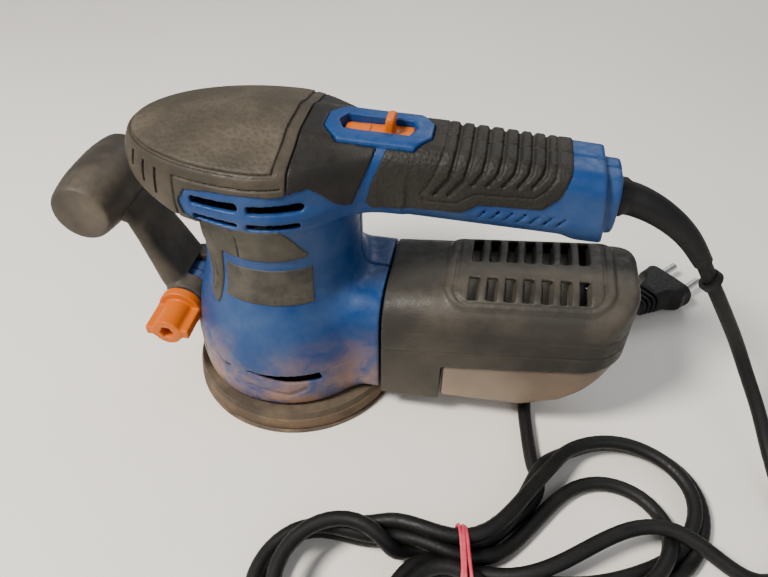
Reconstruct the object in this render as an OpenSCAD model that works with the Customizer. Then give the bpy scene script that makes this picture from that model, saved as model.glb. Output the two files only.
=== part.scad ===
/* [Sanding pad] */
// Diameter of the hook and loop pad
pad_d = 125; // [123:1:127]
// Thickness of the hook layer
hook_t = 1.6; // [1:0.1:2]
// Height of the foam above the floor
foam_top = 10.6; // [9:0.1:11]
// Height of the backing plate above the floor
plate_top = 14.2; // [13:0.1:14.4]
// Distance between the motor axis and the pad axis
orbit = 2; // [1.5:0.1:2.5]
// Circle of the dust holes
hole_circle_r = 32.5; // [30:0.5:36]
// Radius of one dust hole
hole_r = 5; // [4:0.5:6]

/* [Body] */
// Lower edge of the blue skirt
skirt_z = 16.5; // [16:0.1:17.5]
// Widest radius of the skirt
skirt_r = 57.5; // [57:0.5:58]
// Radius of the neck
neck_r = 43.5; // [43:0.5:44]
// Wall of the plastic shells
wall = 3; // [2.5:0.1:3.2]
// Underside of the head
head_z = 131; // [130:0.5:132]
// Top of the blue head band
band_z = 150; // [149:0.5:151]
// Half width of the head
head_b = 47; // [46:0.5:48]
// Distance from the motor axis to the front tip of the head
head_a = 76; // [74:1:79]
// Top of the palm cap
cap_top = 167.3; // [166.8:0.1:167.6]

/* [Handle] */
// Height of the handle axis at its root
handle_z = 146.3; // [146:0.1:146.6]
// Where the straight handle starts
handle_x = 40; // [38:1:42]
// Length of the straight handle
handle_len = 124; // [122:1:126]
// Width over the grips
grip_w = 41; // [40:0.5:42]
// Height over the grips
grip_h = 42; // [41.5:0.1:42.4]
// Slope of the handle in degrees, falling to the rear
droop = 1.6; // [1.2:0.1:2]
// Travel of the switch slider
switch_travel = 8; // [6:0.5:9]

/* [Dust box] */
// Face where the box meets the body
duct_x = 57; // [56.5:0.5:58]
// Half width of the box
box_b = 35; // [34:0.5:36]
// Lower edge of the collar
box_z = 16; // [15.5:0.1:16.5]
// Top of the box at the body
box_top = 84; // [82:0.5:85]
// Rear end of the box
box_rear = 186; // [184:1:188]
// Height of the outlet axis
outlet_z = 47; // [46:0.5:48]
// Outer radius of the outlet spigot
spigot_r = 17; // [16:0.5:17.5]

/* [Front handle] */
// Pivot of the front handle, X
pivot_x = -60.5; // [-61:0.5:-60]
// Pivot of the front handle, Z
pivot_z = 53.5; // [53:0.5:54.5]
// Radius of the pivot bolt
bolt_r = 3; // [2.9:0.05:3.1]
// Centre of the cross grip, X
bar_x = -102; // [-103:0.5:-101]
// Centre of the cross grip, Z
bar_z = 115.5; // [114:0.5:116]
// Largest radius of the cross grip
bar_r = 18.5; // [17.5:0.5:19]

/* [Mains lead] */
// Diameter of the lead
cord_d = 7.5; // [7:0.1:8]

/* [Hidden] */
$fn = 96;

blue = [0.16, 0.34, 0.66];
dark = [0.27, 0.25, 0.22];
orange = [0.93, 0.45, 0.08];
steel = [0.70, 0.71, 0.73];
copper = [0.72, 0.42, 0.24];
rubber = [0.07, 0.07, 0.07];
smoke = [0.52, 0.45, 0.39, 0.7];

// The motor axis stands one orbit in front of the pad axis.
ax = -orbit;
shaft_r = 4;
fit = 0.02;
run = 0.05;
gap = 0.4;
duct_end = duct_x - 0.8;
fan_z = 42;
plate_z = 53;
stack_z0 = 74;
stack_z1 = 106;
top_bearing_z = 127;
recess_r = 12.6;
recess_b = 30;
hub_r = 11.5;
lug_w = 16;
hub_w = 40;
head_x = -2;
saddle_x0 = 15.5;
saddle_x1 = 59;
box_tilt = 5.9;
lead_z = 142.7;

// ---- outlines ----

function arc(cx, cy, r, a0, a1, n = 8) =
    [for (i = [0:n]) let (a = a0 + (a1 - a0) * i / n) [cx + r * cos(a), cy + r * sin(a)]];

// A rectangle with rounded corners, centred on the origin.
// Half width of the head at x: an ellipse in front, easing into the handle behind.
function ease(t) = 0.5 + 0.5 * cos(180 * min(1, max(0, t)));
function head_half(x, inset) = x < head_x
    ? (head_b - inset) * sqrt(max(0, 1 - pow((head_x - x) / (head_a - inset), 2)))
    : grip_w / 2 - 1.5 + (head_b - inset - grip_w / 2 + 1.5) * ease((x - head_x) / 66);

// The head in plan, cut off straight at x_end.
function head_outline(inset, x_end, n = 18, m = 8) = let (
    front = [for (i = [0:n]) let (a = 90 + 90 * i / n)
        [head_x + (head_a - inset) * cos(a), (head_b - inset) * sin(a)]],
    rear = [for (i = [0:m - 1]) let (x = x_end + (head_x - x_end) * i / m) [x, head_half(x, inset)]])
    concat(rear, front, [for (i = [n - 1:-1:0]) [front[i][0], -front[i][1]]],
        [for (i = [m - 1:-1:0]) [rear[i][0], -rear[i][1]]]);

// Height of the domed palm cap over the plan.
function dome(x, y) = cap_top - 7.5 * pow(y / head_b, 2) - 7 * pow(max(0, -10 - x) / 68, 2);

// Section of the duct and the dust box: large upper corners, small lower ones.
function box_section(b, z0, z1, rt, rb) = concat(
    arc(b - rt, z1 - rt, rt, 0, 90), arc(rt - b, z1 - rt, rt, 90, 180),
    arc(rb - b, z0 + rb, rb, 180, 270, 5), arc(b - rb, z0 + rb, rb, 270, 360, 5));

// ---- solids from outlines ----

// A closed skin through rings that all hold the same number of points.
module loft(rings) {
    n = len(rings[0]);
    m = len(rings);
    pts = [for (r = rings) for (q = r) q];
    sides = [for (j = [0:m - 2]) for (i = [0:n - 1]) let (k = (i + 1) % n)
        each [[j * n + i, (j + 1) * n + i, j * n + k], [j * n + k, (j + 1) * n + i, (j + 1) * n + k]]];
    bottom = [for (i = [0:n - 1]) i];
    top = [for (i = [n - 1:-1:0]) (m - 1) * n + i];
    polyhedron(points = pts, faces = concat([bottom, top], sides), convexity = 6);
}

// A round tube along a path, with one radius for each point.
function unit(v) = v / norm(v);
function tangent(p, i) = unit(p[min(len(p) - 1, i + 1)] - p[max(0, i - 1)]);
function side_of(t) = unit(cross(t, [0.05, 0.03, 1]));
function tube_ring(p, i, r, n) = let (t = tangent(p, i), u = side_of(t), v = cross(t, u))
    [for (k = [0:n - 1]) p[i] + r * (cos(360 * k / n) * u + sin(360 * k / n) * v)];
module tube(path, radii, n = 10) {
    loft([for (i = [0:len(path) - 1]) tube_ring(path, i, radii[i], n)]);
}

// A smooth curve through hand-set points, steps pieces between each two.
function catmull(a, b, c, d, t) = 0.5 * (2 * b + (c - a) * t + (2 * a - 5 * b + 4 * c - d) * t * t
    + (3 * b - a - 3 * c + d) * t * t * t);
function smooth(p, steps) = concat([for (i = [0:len(p) - 2]) for (s = [0:steps - 1])
    catmull(p[max(0, i - 1)], p[i], p[i + 1], p[min(len(p) - 1, i + 2)], s / steps)], [p[len(p) - 1]]);

module along_x(x0, x1) {
    translate([x0, 0, 0]) rotate([90, 0, 90]) linear_extrude(x1 - x0) children();
}

module rod_x(x, y, z, r, len) {
    translate([x, y, z]) rotate([0, 90, 0]) cylinder(r = r, h = len);
}

module rod_y(x, y0, y1, z, r) {
    translate([x, y0, z]) rotate([-90, 0, 0]) cylinder(r = r, h = y1 - y0);
}

module ring(r_out, r_in, z0, z1) {
    translate([0, 0, z0]) difference() {
        cylinder(r = r_out, h = z1 - z0);
        translate([0, 0, -1]) cylinder(r = r_in, h = z1 - z0 + 2);
    }
}

// A sealed ball bearing: two races and a recessed shield on each face.
module bearing(r_out, r_in, z0, h) {
    race = (r_out - r_in) * 0.28;
    dip = 0.5;
    rotate_extrude() polygon([[r_in, z0], [r_in + race, z0], [r_in + race, z0 + dip],
        [r_out - race, z0 + dip], [r_out - race, z0], [r_out, z0], [r_out, z0 + h],
        [r_out - race, z0 + h], [r_out - race, z0 + h - dip], [r_in + race, z0 + h - dip],
        [r_in + race, z0 + h], [r_in, z0 + h]]);
}

module dust_holes(z0, z1) {
    for (i = [0:7]) rotate([0, 0, 22.5 + 45 * i])
        translate([hole_circle_r, 0, z0]) cylinder(r = hole_r, h = z1 - z0, $fn = 32);
}

module on_motor_axis() { translate([ax, 0, 0]) children(); }

// ---- sanding pad ----

module pad_hook_disc() {
    color(dark) difference() {
        ring(pad_d / 2, 9, 0, hook_t);
        dust_holes(-1, hook_t + 1);
    }
}

module pad_foam() {
    r = pad_d / 2;
    color([0.30, 0.24, 0.19]) difference() {
        rotate_extrude() polygon([[9, hook_t], [r - 1.4, hook_t], [r - 0.6, 5],
            [r - 1.2, foam_top], [9, foam_top]]);
        dust_holes(0, foam_top + 1);
    }
}

module pad_plate() {
    r = pad_d / 2;
    color(dark) difference() {
        rotate_extrude() polygon([[3.1, foam_top], [r - 1.5, foam_top], [r - 2.4, plate_top],
            [16, plate_top], [16, plate_top + 2.8], [3.1, plate_top + 2.8]]);
        dust_holes(0, plate_top + 1);
    }
}

spindle_z = 17;
spindle_r = 5.95;
cup_z = 20.6;
cup_depth = 8;
module pad_spindle() {
    color(steel) difference() {
        union() {
            translate([0, 0, spindle_z]) cylinder(r = 13, h = 2.6);
            translate([0, 0, spindle_z]) cylinder(r = spindle_r, h = 12.5);
        }
        translate([0, 0, spindle_z - 1]) cylinder(r = 3, h = 11);
    }
}

module pad_screw() {
    color(steel) difference() {
        union() {
            translate([0, 0, foam_top - 4]) cylinder(r = 6.5, h = 4);
            translate([0, 0, foam_top - 1]) cylinder(r = 2.95, h = 16);
        }
        translate([0, 0, foam_top - 5]) cylinder(r = 2.9, h = 3.4, $fn = 6);
    }
}

// ---- rotor ----

module pad_bearing() { color(steel) bearing(14, spindle_r + run, cup_z, cup_depth); }

module eccentric_hub() {
    color([0.55, 0.56, 0.58]) difference() {
        union() {
            translate([0, 0, cup_z]) cylinder(r = 17.5, h = 10);
            on_motor_axis() translate([0, 0, cup_z + 9]) cylinder(r = 9, h = fan_z - cup_z - 9);
        }
        translate([0, 0, cup_z - 1]) cylinder(r = 14 + fit, h = cup_depth + 1);
        translate([0, 0, cup_z]) cylinder(r = 9, h = cup_depth + 1.4);
        on_motor_axis() translate([0, 0, 32]) cylinder(r = shaft_r + fit, h = 20);
    }
}

module counterweight() {
    color([0.42, 0.43, 0.45]) on_motor_axis() rotate([0, 0, 100]) rotate_extrude(angle = 160)
        polygon([[9 + fit, 31], [34, 31], [34, 39], [22, 39], [22, 34], [9 + fit, 34]]);
}

module fan(r, z0, disc_t, z1, blades, r_hub) {
    difference() {
        union() {
            translate([0, 0, z0]) cylinder(r = r, h = disc_t);
            translate([0, 0, z0]) cylinder(r = r_hub, h = z1 - z0);
            for (i = [0:blades - 1]) rotate([0, 0, 360 * i / blades])
                translate([r_hub - 1, -0.8, z0]) cube([r - r_hub + 0.5, 1.6, z1 - z0]);
        }
        translate([0, 0, z0 - 1]) cylinder(r = shaft_r + fit, h = z1 - z0 + 2);
    }
}

module dust_fan() { color([0.20, 0.20, 0.22]) on_motor_axis() fan(42, fan_z, 1.6, 51, 10, 10); }

module cooling_fan() { color([0.20, 0.20, 0.22]) on_motor_axis() fan(36, 67, 1.2, 71.4, 14, 8); }

module motor_shaft() {
    color(steel) on_motor_axis() translate([0, 0, 32]) cylinder(r = shaft_r, h = 103);
}

module armature_core() {
    color([0.35, 0.35, 0.37]) on_motor_axis() difference() {
        ring(20, shaft_r + fit, stack_z0, stack_z1);
        for (i = [0:11]) rotate([0, 0, 30 * i])
            translate([14, -1, stack_z0 - 1]) cube([8, 2, stack_z1 - stack_z0 + 2]);
    }
}

module armature_coils() {
    color(copper) on_motor_axis() {
        rotate_extrude() polygon([[8, stack_z1 + 0.1], [17, stack_z1 + 0.1], [16, 110],
            [12, 112], [8, 112]]);
        rotate_extrude() polygon([[8, 72], [16, 72], [17, stack_z0 - 0.1], [8, stack_z0 - 0.1]]);
    }
}

module commutator() {
    color(copper) on_motor_axis() difference() {
        ring(11.5, shaft_r + fit, 113, 123.5);
        for (i = [0:11]) rotate([0, 0, 30 * i]) translate([10, -0.3, 112]) cube([3, 0.6, 13]);
    }
}

// ---- fixed motor parts ----

module lower_bearing() { color(steel) on_motor_axis() bearing(11, shaft_r + run, 58.5, 7); }

module upper_bearing() { color(steel) on_motor_axis() bearing(11, shaft_r + run, top_bearing_z, 7); }

module bearing_plate() {
    color([0.55, 0.56, 0.58]) on_motor_axis() difference() {
        rotate_extrude() polygon([[6, plate_z], [44, plate_z], [44, plate_z + 3],
            [14.5, plate_z + 3], [14.5, 66], [11 + fit, 66], [11 + fit, 58.5], [6, 58.5]]);
        for (i = [0:3]) rotate([0, 0, 45 + 90 * i])
            translate([38, 0, plate_z - 1]) cylinder(r = 2, h = 5, $fn = 24);
        rod_y(pivot_x + orbit, -recess_b - 1, recess_b + 1, pivot_z, recess_r + wall + 0.4);
    }
}

module stator_core() {
    color([0.45, 0.45, 0.47]) on_motor_axis() difference() {
        intersection() {
            translate([0, 0, stack_z0]) cylinder(r = 37, h = stack_z1 - stack_z0);
            translate([-31, -40, stack_z0]) cube([62, 80, stack_z1 - stack_z0]);
        }
        translate([0, 0, stack_z0 - 1]) cylinder(r = 20.8, h = 40);
        for (a = [0, 180]) rotate([0, 0, a]) rotate([0, 0, -38]) translate([0, 0, stack_z0 - 1])
            rotate_extrude(angle = 76) translate([21, 0]) square([6, 40]);
    }
}

module coil_arc(z0, z1) {
    rotate([0, 0, -62]) rotate_extrude(angle = 124) translate([21.4, z0]) square([9, z1 - z0]);
}

module stator_coils() {
    color(copper) on_motor_axis() for (a = [0, 180]) rotate([0, 0, a]) {
        coil_arc(stack_z1 + 0.1, 112);
        coil_arc(72, stack_z0 - 0.1);
    }
}

brush_z = 118;
module brush_holders() {
    color([0.75, 0.60, 0.30]) on_motor_axis() for (a = [90, 270]) rotate([0, 0, a]) difference() {
        translate([13.5, -4.5, brush_z - 4.5]) cube([25, 9, 9]);
        translate([13, -2.9, brush_z - 2.9]) cube([23, 5.8, 5.8]);
    }
}

module brushes() {
    color([0.15, 0.15, 0.16]) on_motor_axis() for (a = [90, 270]) rotate([0, 0, a])
        translate([11.7, -2.7, brush_z - 2.7]) cube([14, 5.4, 5.4]);
}

module brush_springs() {
    color(steel) on_motor_axis() for (a = [90, 270]) rotate([0, 0, a]) translate([25.8, 0, brush_z])
        rotate([0, 90, 0]) difference() {
            cylinder(r = 2.4, h = 10, $fn = 24);
            translate([0, 0, -1]) cylinder(r = 1.7, h = 12, $fn = 24);
        }
}

module brake_ring() {
    color(rubber) difference() {
        on_motor_axis() rotate_extrude() polygon([[49, plate_top + 0.5], [50.2, plate_top + 0.5],
            [52, 19], [52.2, 24], [50.6, 24], [50.4, 19.4]]);
        posts(4.8);
    }
}

// ---- housing ----

function body_profile() = [[skirt_r - 1.5, skirt_z], [skirt_r, 26], [skirt_r - 0.5, 38], [55.6, 48],
    [53.2, 63], [50, 74], [46, 84], [neck_r, 93], [neck_r, 118], [neck_r + 0.9, 126], [46, 133]];

module bell() {
    on_motor_axis() rotate_extrude()
        polygon(concat([[0, skirt_z]], body_profile(), [[0, 133]]));
}

module bell_void() {
    on_motor_axis() rotate_extrude() polygon([[0, skirt_z - 1], [skirt_r - 1.5 - wall, skirt_z - 1],
        [skirt_r - wall, 27], [52.4, 46], [51.8, plate_z], [44.2, plate_z], [44.2, 67],
        [42.6, 76], [41, 84], [neck_r - wall, 92], [neck_r - wall, 120], [neck_r - wall + 1.5, 134], [0, 134]]);
}

module handle_frame() { translate([handle_x, 0, handle_z]) rotate([0, droop, 0]) children(); }

// Section of the handle, rounder below than above.
function bar_section(w, h, r) = box_section(w / 2, -h / 2, h / 2, r - 5, r);
module handle_bar(w, h, r, x0, x1) {
    handle_frame() along_x(x0, x1) polygon(bar_section(w, h, r));
}

module duct_block(inset, x0, x1) {
    along_x(x0, x1) polygon(box_section(box_b - inset, skirt_z + 0.3 + inset, box_top - 2 - inset,
        18 - inset, 8 - inset));
}

// Screw posts: x, z of each, then the wall they pass through.
post_at = [[-66, 141], [22, 141], [100, 133], [151, 133], [47, 74], [47, 21.6]];
module posts(r) { for (p = post_at) rod_y(p[0], -60, 60, p[1], r); }

module housing_outer() {
    bell();
    translate([0, 0, head_z]) linear_extrude(band_z - head_z) polygon(head_outline(1.4, 62));
    handle_bar(grip_w - 3, grip_h - 3, 14.5, -16, handle_len);
    duct_block(0, 10, duct_end);
}

module housing_void() {
    difference() {
        union() {
            bell_void();
            translate([0, 0, head_z + wall]) linear_extrude(band_z - head_z - 2 * wall)
                polygon(head_outline(1.4 + wall, 62));
            handle_bar(grip_w - 3 - 2 * wall, grip_h - 3 - 2 * wall, 11.5, -12, handle_len - 4);
            duct_block(wall, 12, duct_end - wall);
        }
        posts(4.4);
        rod_y(pivot_x, -recess_b, recess_b, pivot_z, recess_r + wall);
        on_motor_axis() difference() {
            union() {
                translate([0, 0, top_bearing_z - 1]) cylinder(r = 14.5, h = 9.5);
                for (a = [0, 90]) rotate([0, 0, a])
                    translate([-44, -1.5, top_bearing_z + 1]) cube([88, 3, 7]);
            }
            translate([0, 0, top_bearing_z - 2]) cylinder(r = 11 + fit, h = 9.2);
            translate([0, 0, top_bearing_z - 2]) cylinder(r = 6, h = 10);
        }
    }
}

module vent_slots() {
    for (s = [-1, 1]) for (z = [135.6, 142.4]) for (x = [-37, -3])
        translate([x, s * 42 - 12, z]) cube([29, 24, 3.2]);
    on_motor_axis() for (a = [-122, 61]) rotate([0, 0, a]) translate([0, 0, 37])
        rotate_extrude(angle = 61) translate([49, 0]) square([12, 3.6]);
}

module housing_cuts() {
    rod_y(pivot_x, -recess_b, recess_b, pivot_z, recess_r);
    vent_slots();
    rod_x(duct_x - 10, 0, outlet_z, spigot_r + 3.4, 12);
    translate([33, -6, 150]) cube([40, 12, 30]);
    rod_x(150, 0, lead_z, 6.4, 30);
    for (p = post_at) {
        rod_y(p[0], -8, 60, p[1], 1.7);
        rod_y(p[0], 9, 60, p[1], 3.5);
    }
}

module pivot_lug() {
    difference() {
        union() {
            rod_y(pivot_x, -lug_w / 2, lug_w / 2, pivot_z, 8.5);
            translate([pivot_x, -lug_w / 2, pivot_z - 6]) cube([12.5, lug_w, 12]);
        }
        rod_y(pivot_x, -20, 20, pivot_z, bolt_r + run);
    }
}

module housing() {
    difference() {
        housing_outer();
        housing_void();
        housing_cuts();
    }
    pivot_lug();
}

module housing_half(side) {
    color(blue) intersection() {
        housing();
        translate([-150, side < 0 ? -100 : 0, -10]) cube([400, 100, 260]);
    }
}

module housing_left() { housing_half(-1); }
module housing_right() { housing_half(1); }

module housing_screws() {
    color(steel) for (p = post_at) {
        rod_y(p[0], -7, 12, p[1], 1.6);
        rod_y(p[0], 9.1, 11.6, p[1], 3.3);
    }
}

// The grey rubber panel round the front of the neck, with a tongue on each side.
module neck_skin(r, t, z0, z1, a0, a1) {
    on_motor_axis() rotate([0, 0, a0]) rotate_extrude(angle = a1 - a0)
        translate([r, z0]) square([t, z1 - z0]);
}

module front_panel() {
    color([0.38, 0.36, 0.31]) neck_skin(neck_r + 0.05, 1.2, 108, 117.5, 61, 299);
}

module name_plate() {
    color([0.20, 0.20, 0.19]) neck_skin(neck_r + 0.05, 0.8, 94, 104.5, -116, -58);
}

// ---- palm cap and saddle ----

// One ring of the cap: the plan shrunk by s about a point over the motor.
function cap_ring(s, drop) = [for (q = head_outline(0, saddle_x0 - 0.5))
    let (x = -12 + (q[0] + 12) * s, y = q[1] * s) [x, y, dome(x, y) - drop]];
function cap_edge(inset, z) =
    [for (q = head_outline(inset, saddle_x0 - 0.5 - inset * 0.7)) [q[0], q[1], z]];

module cap_shell() {
    color(dark) loft([cap_ring(0.12, 2.6), cap_ring(0.25, 2.6), cap_ring(0.5, 2.6),
        cap_ring(0.75, 2.6), cap_ring(0.84, 3), cap_edge(5, band_z + 4),
        cap_edge(3.4, band_z + 0.3), cap_edge(0, band_z + 0.3), cap_edge(0.6, band_z + 4),
        cap_edge(3, band_z + 7.2), cap_ring(0.88, 0), cap_ring(0.75, 0), cap_ring(0.5, 0),
        cap_ring(0.25, 0), cap_ring(0.12, 0)]);
}

function pad_ring(s, lift) = [for (q = head_outline(0, 10))
    let (x = -12 + (q[0] + 12) * s, y = q[1] * s) [x, y, dome(x, y) + lift]];
module cap_pad() {
    color([0.30, 0.27, 0.23]) loft([pad_ring(0.12, 0.8), pad_ring(0.35, 0.8), pad_ring(0.6, 0.8),
        pad_ring(0.82, 0.8), pad_ring(0.82, 1.6), pad_ring(0.6, 1.8), pad_ring(0.35, 1.8),
        pad_ring(0.12, 1.8)]);
}

// The dark saddle between the cap and the handle, open along the switch slot.
saddle_z = 133;
saddle_top = 167.6;
function saddle_section(half, t) = concat([[half - t, saddle_z], [half - t, 150]],
    arc(half - 11, saddle_top - 11, 11 - t, 0, 90, 6), arc(11 - half, saddle_top - 11, 11 - t, 90, 180, 6),
    [[t - half, 150], [t - half, saddle_z]]);
module saddle_form(t, over) {
    hull() {
        along_x(saddle_x0 - over, saddle_x0 - over + 0.1) polygon(saddle_section(43.8, t));
        along_x(saddle_x1 + over - 0.1, saddle_x1 + over) polygon(saddle_section(21.4, t));
    }
}
module cap_saddle() {
    color(dark) difference() {
        saddle_form(0, 0);
        translate([0, 0, -0.1]) saddle_form(1.2, 0.2);
        bezel_hole();
        rotate([90, 0, 0]) translate([0, 0, -60]) linear_extrude(120)
            polygon([[10, 120], [10, 151.5], [24, 152], [38, 140], [70, 139], [70, 120]]);
    }
}

// ---- handle ----

grip_x0 = 22;
grip_x1 = 112;
module grip_skin(side) {
    color(dark) handle_frame() along_x(grip_x0, grip_x1) difference() {
        polygon(bar_section(grip_w, grip_h, 16));
        polygon(bar_section(grip_w - 2.6, grip_h - 2.6, 14.7));
        translate([-50, -50]) square([100, 38]);
        translate([side < 0 ? 0 : -50, -50]) square([50, 100]);
    }
}

module grip_left() {
    difference() {
        grip_skin(-1);
        bezel_hole();
    }
}

module grip_right() {
    difference() {
        grip_skin(1);
        bezel_hole();
    }
}

bezel_z = 166.3;
bezel_x0 = 25.5;
bezel_x1 = 75.5;
bezel_b = 15.6;
slider_x = 35;
slider_len = 27;
slot_x0 = slider_x - 1.5;
slot_x1 = slider_x + slider_len + switch_travel + 2.5;
module octagon(x0, x1, b, c) {
    polygon([[x0 + c, -b], [x1 - c, -b], [x1, c - b], [x1, b - c], [x1 - c, b], [x0 + c, b],
        [x0, b - c], [x0, c - b]]);
}

module bezel_hole() {
    translate([0, 0, 150]) linear_extrude(30) octagon(bezel_x0 - 0.3, bezel_x1 + 0.3, bezel_b + 0.3, 8);
}

module switch_bezel() {
    color(blue) translate([0, 0, bezel_z]) linear_extrude(1.8) difference() {
        octagon(bezel_x0, bezel_x1, bezel_b, 8);
        octagon(slot_x0, slot_x1, 6.3, 2);
    }
}

module switch_slider() {
    color(orange) difference() {
        union() {
            translate([slider_x, -5.7, 163]) cube([slider_len, 11.4, 4]);
            translate([53.2, -4.5, 166]) cube([4, 9, 8]);
            translate([44, -2.5, 158]) cube([8, 5, 6]);
        }
        translate([30, 3.5, 172]) rotate([45, 0, 0]) cube([30, 6, 6]);
        translate([30, -3.5, 172]) rotate([45, 0, 0]) cube([30, 6, 6]);
    }
}

module switch_block() {
    color([0.10, 0.10, 0.11]) difference() {
        translate([36, -9, 134]) cube([32, 18, 22.5]);
        translate([42, -3.2, 152]) cube([21, 6.4, 6]);
    }
}

module capacitor() { color([0.80, 0.70, 0.20]) translate([78, -6, 139]) cube([16, 12, 12]); }

module inner_lead() { color(rubber) rod_x(96, 0, lead_z, cord_d / 2, 61.6); }

module cord_clamp() {
    color(dark) difference() {
        translate([128, -10, 134]) cube([12, 20, 5]);
        rod_x(120, 0, lead_z, cord_d / 2 + 0.1, 40);
    }
}

// ---- mains lead ----

guard_path = [[160, 0, 142.6], [166.5, 0, 142.4], [174, 0, 140.8], [184, -0.4, 136.6],
    [194, -0.8, 130.2], [203, -1.2, 122], [212, -1.6, 110.6]];
near_path = [[212, -1.6, 110.6], [220, -2, 98.4], [232, -2, 80], [244, -3, 61], [254, -9, 44],
    [263, -21, 29], [270, -37, 15], [275, -56, 6], [276, -76, 4], [271, -97, 4], [260, -114, 4],
    [244, -124, 4], [228, -126, 5]];
far_path = [[150, -74, 5], [146, -58, 4], [143, -40, 4], [141, -22, 4], [142, -4, 4],
    [146, 14, 4], [154, 31, 4], [167, 44, 4], [182, 52, 5], [197, 60, 8], [211, 72, 9.6]];

module cord_guard() {
    path = smooth(guard_path, 4);
    n = len(path);
    color(rubber) union() {
        tube(path, [for (i = [0:n - 1]) i < 6 ? 6.1 : 8 - 3 * (i - 6) / (n - 7)], 20);
        rod_x(156.2, 0, lead_z, 8.2, 3.6);
    }
}

module cord_ring() {
    color(rubber) translate([219, -2, 99.9]) rotate([0, 123.5, 0])
        difference() {
            cylinder(r = 6, h = 3.4, center = true, $fn = 40);
            cylinder(r = cord_d / 2 + run, h = 8, center = true, $fn = 40);
        }
}

module lead(points) {
    path = smooth(points, 2);
    color(rubber) tube(path, [for (q = path) cord_d / 2], 10);
}

module mains_cord_near() { lead(near_path); }
module mains_cord_far() { lead(far_path); }

// The spare lead is folded into loops on both sides of an elastic band.
hank_h = 22;
waist = [114, -124];
module cord_hank() {
    color(rubber) linear_extrude(hank_h) polygon(concat(arc(54, -150, 37, 60, 340, 24),
        [[waist[0] - 5, waist[1] - 12], [waist[0] + 5, waist[1] - 12]], arc(187, -90, 51, 235, 510, 28),
        [[waist[0] + 5, waist[1] + 12], [waist[0] - 5, waist[1] + 12]]));
}

module cord_band() {
    color([0.85, 0.20, 0.28]) translate([waist[0] - 4, waist[1] - 14, 0]) difference() {
        cube([8, 28, hank_h + 1.4]);
        translate([-1, 1.3, -1]) cube([10, 25.4, hank_h + 1.05]);
    }
}

plug_at = [211, 72, 9.6];
plug_turn = 46.6;
module plug_frame() { translate(plug_at) rotate([0, 0, plug_turn]) children(); }

module plug_body() {
    color(rubber) plug_frame() difference() {
        union() {
            translate([0, 0, -9]) linear_extrude(18)
                polygon([[2, -7], [16, -9], [24, -17], [36, -18], [36, 18], [24, 17], [16, 9], [2, 7]]);
            rod_x(-8, 0, 0, 5, 12);
        }
        for (s = [-1, 1]) rod_x(27, s * 9.5, 0, 2.4 + fit, 12);
    }
}

module plug_pins() {
    color(steel) plug_frame() for (s = [-1, 1]) rod_x(27.5, s * 9.5, 0, 2.4, 27.5);
}

// ---- dust box ----

module duct_sleeve() {
    color([0.22, 0.22, 0.24]) difference() {
        rod_x(duct_end - 15, 0, outlet_z, spigot_r + 3.2, 15);
        rod_x(duct_end - 20, 0, outlet_z, spigot_r + 0.3, 30);
    }
}

module duct_seal() {
    color(rubber) difference() {
        rod_x(duct_end, 0, outlet_z, spigot_r + 6, 0.6);
        rod_x(duct_x - 4, 0, outlet_z, spigot_r + 0.5, 10);
    }
}

// Side view of the box and its lid edge, moved inwards by t.
function lid_edge(x) = 44 + (x - 91) * 0.14;
function top_edge(x) = box_top + (x - duct_x) * tan(box_tilt);
function cover_side(t) = [[duct_x + 0.2 + t, box_z + t], [duct_x + 0.2 + t, box_top - t],
    [box_rear - 7 - t, top_edge(box_rear - 7) - t], [box_rear - t, top_edge(box_rear) - 7 - t],
    [box_rear - t, t > 0 ? 0 : lid_edge(box_rear)], [91 - t, t > 0 ? 0 : lid_edge(91)],
    [91 - t, box_z + t]];
function plan_outline(t) = concat([[duct_x - 10, -box_b + t]],
    arc(box_rear - 24, 24 - box_b, 24 - t, -90, 0), arc(box_rear - 24, box_b - 24, 24 - t, 0, 90),
    [[duct_x - 10, box_b - t]]);

module side_slab(pts) { rotate([90, 0, 0]) translate([0, 0, -60]) linear_extrude(120) polygon(pts); }

module box_form(side, t) {
    intersection() {
        side_slab(side);
        translate([0, 0, -5]) linear_extrude(120) polygon(plan_outline(t));
        tilted_roof(t);
    }
}

// The roof corners follow the slope of the lid.
module tilted_roof(t) {
    translate([duct_x, 0, 0]) rotate([0, -box_tilt, 0])
        along_x(-30, 160) polygon(box_section(box_b - t, -40, box_top * cos(box_tilt) - t, 18 - t, 3));
}

louvre_n = 7;
module louvres() {
    for (i = [0:louvre_n - 1]) for (s = [-1, 1])
        translate([101 + 9.5 * i, s * 14 - 10, 80]) cube([5, 20, 30]);
}

module box_cover() {
    color(dark) {
        difference() {
            box_form(cover_side(0), 0);
            box_form(cover_side(2.2), 2.2);
            louvres();
            rod_x(duct_x - 5, 0, outlet_z, spigot_r - 2, 12);
        }
        difference() {
            rod_x(duct_x - 12, 0, outlet_z, spigot_r, 14);
            rod_x(duct_x - 13, 0, outlet_z, spigot_r - 2, 18);
        }
    }
}

module under_roof(x0, x1, b, drop, t) {
    translate([duct_x, 0, 0]) rotate([0, -box_tilt, 0]) translate([x0, -b, box_top * cos(box_tilt) - drop - t])
        cube([x1 - x0, 2 * b, t]);
}

module filter_frame() {
    color([0.22, 0.22, 0.24]) difference() {
        under_roof(38, 112, 29, 9, 3);
        under_roof(42, 108, 25, 8, 6);
    }
}

module dust_filter() { color([0.85, 0.83, 0.78]) under_roof(42.2, 107.8, 24.8, 9, 3); }

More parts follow.
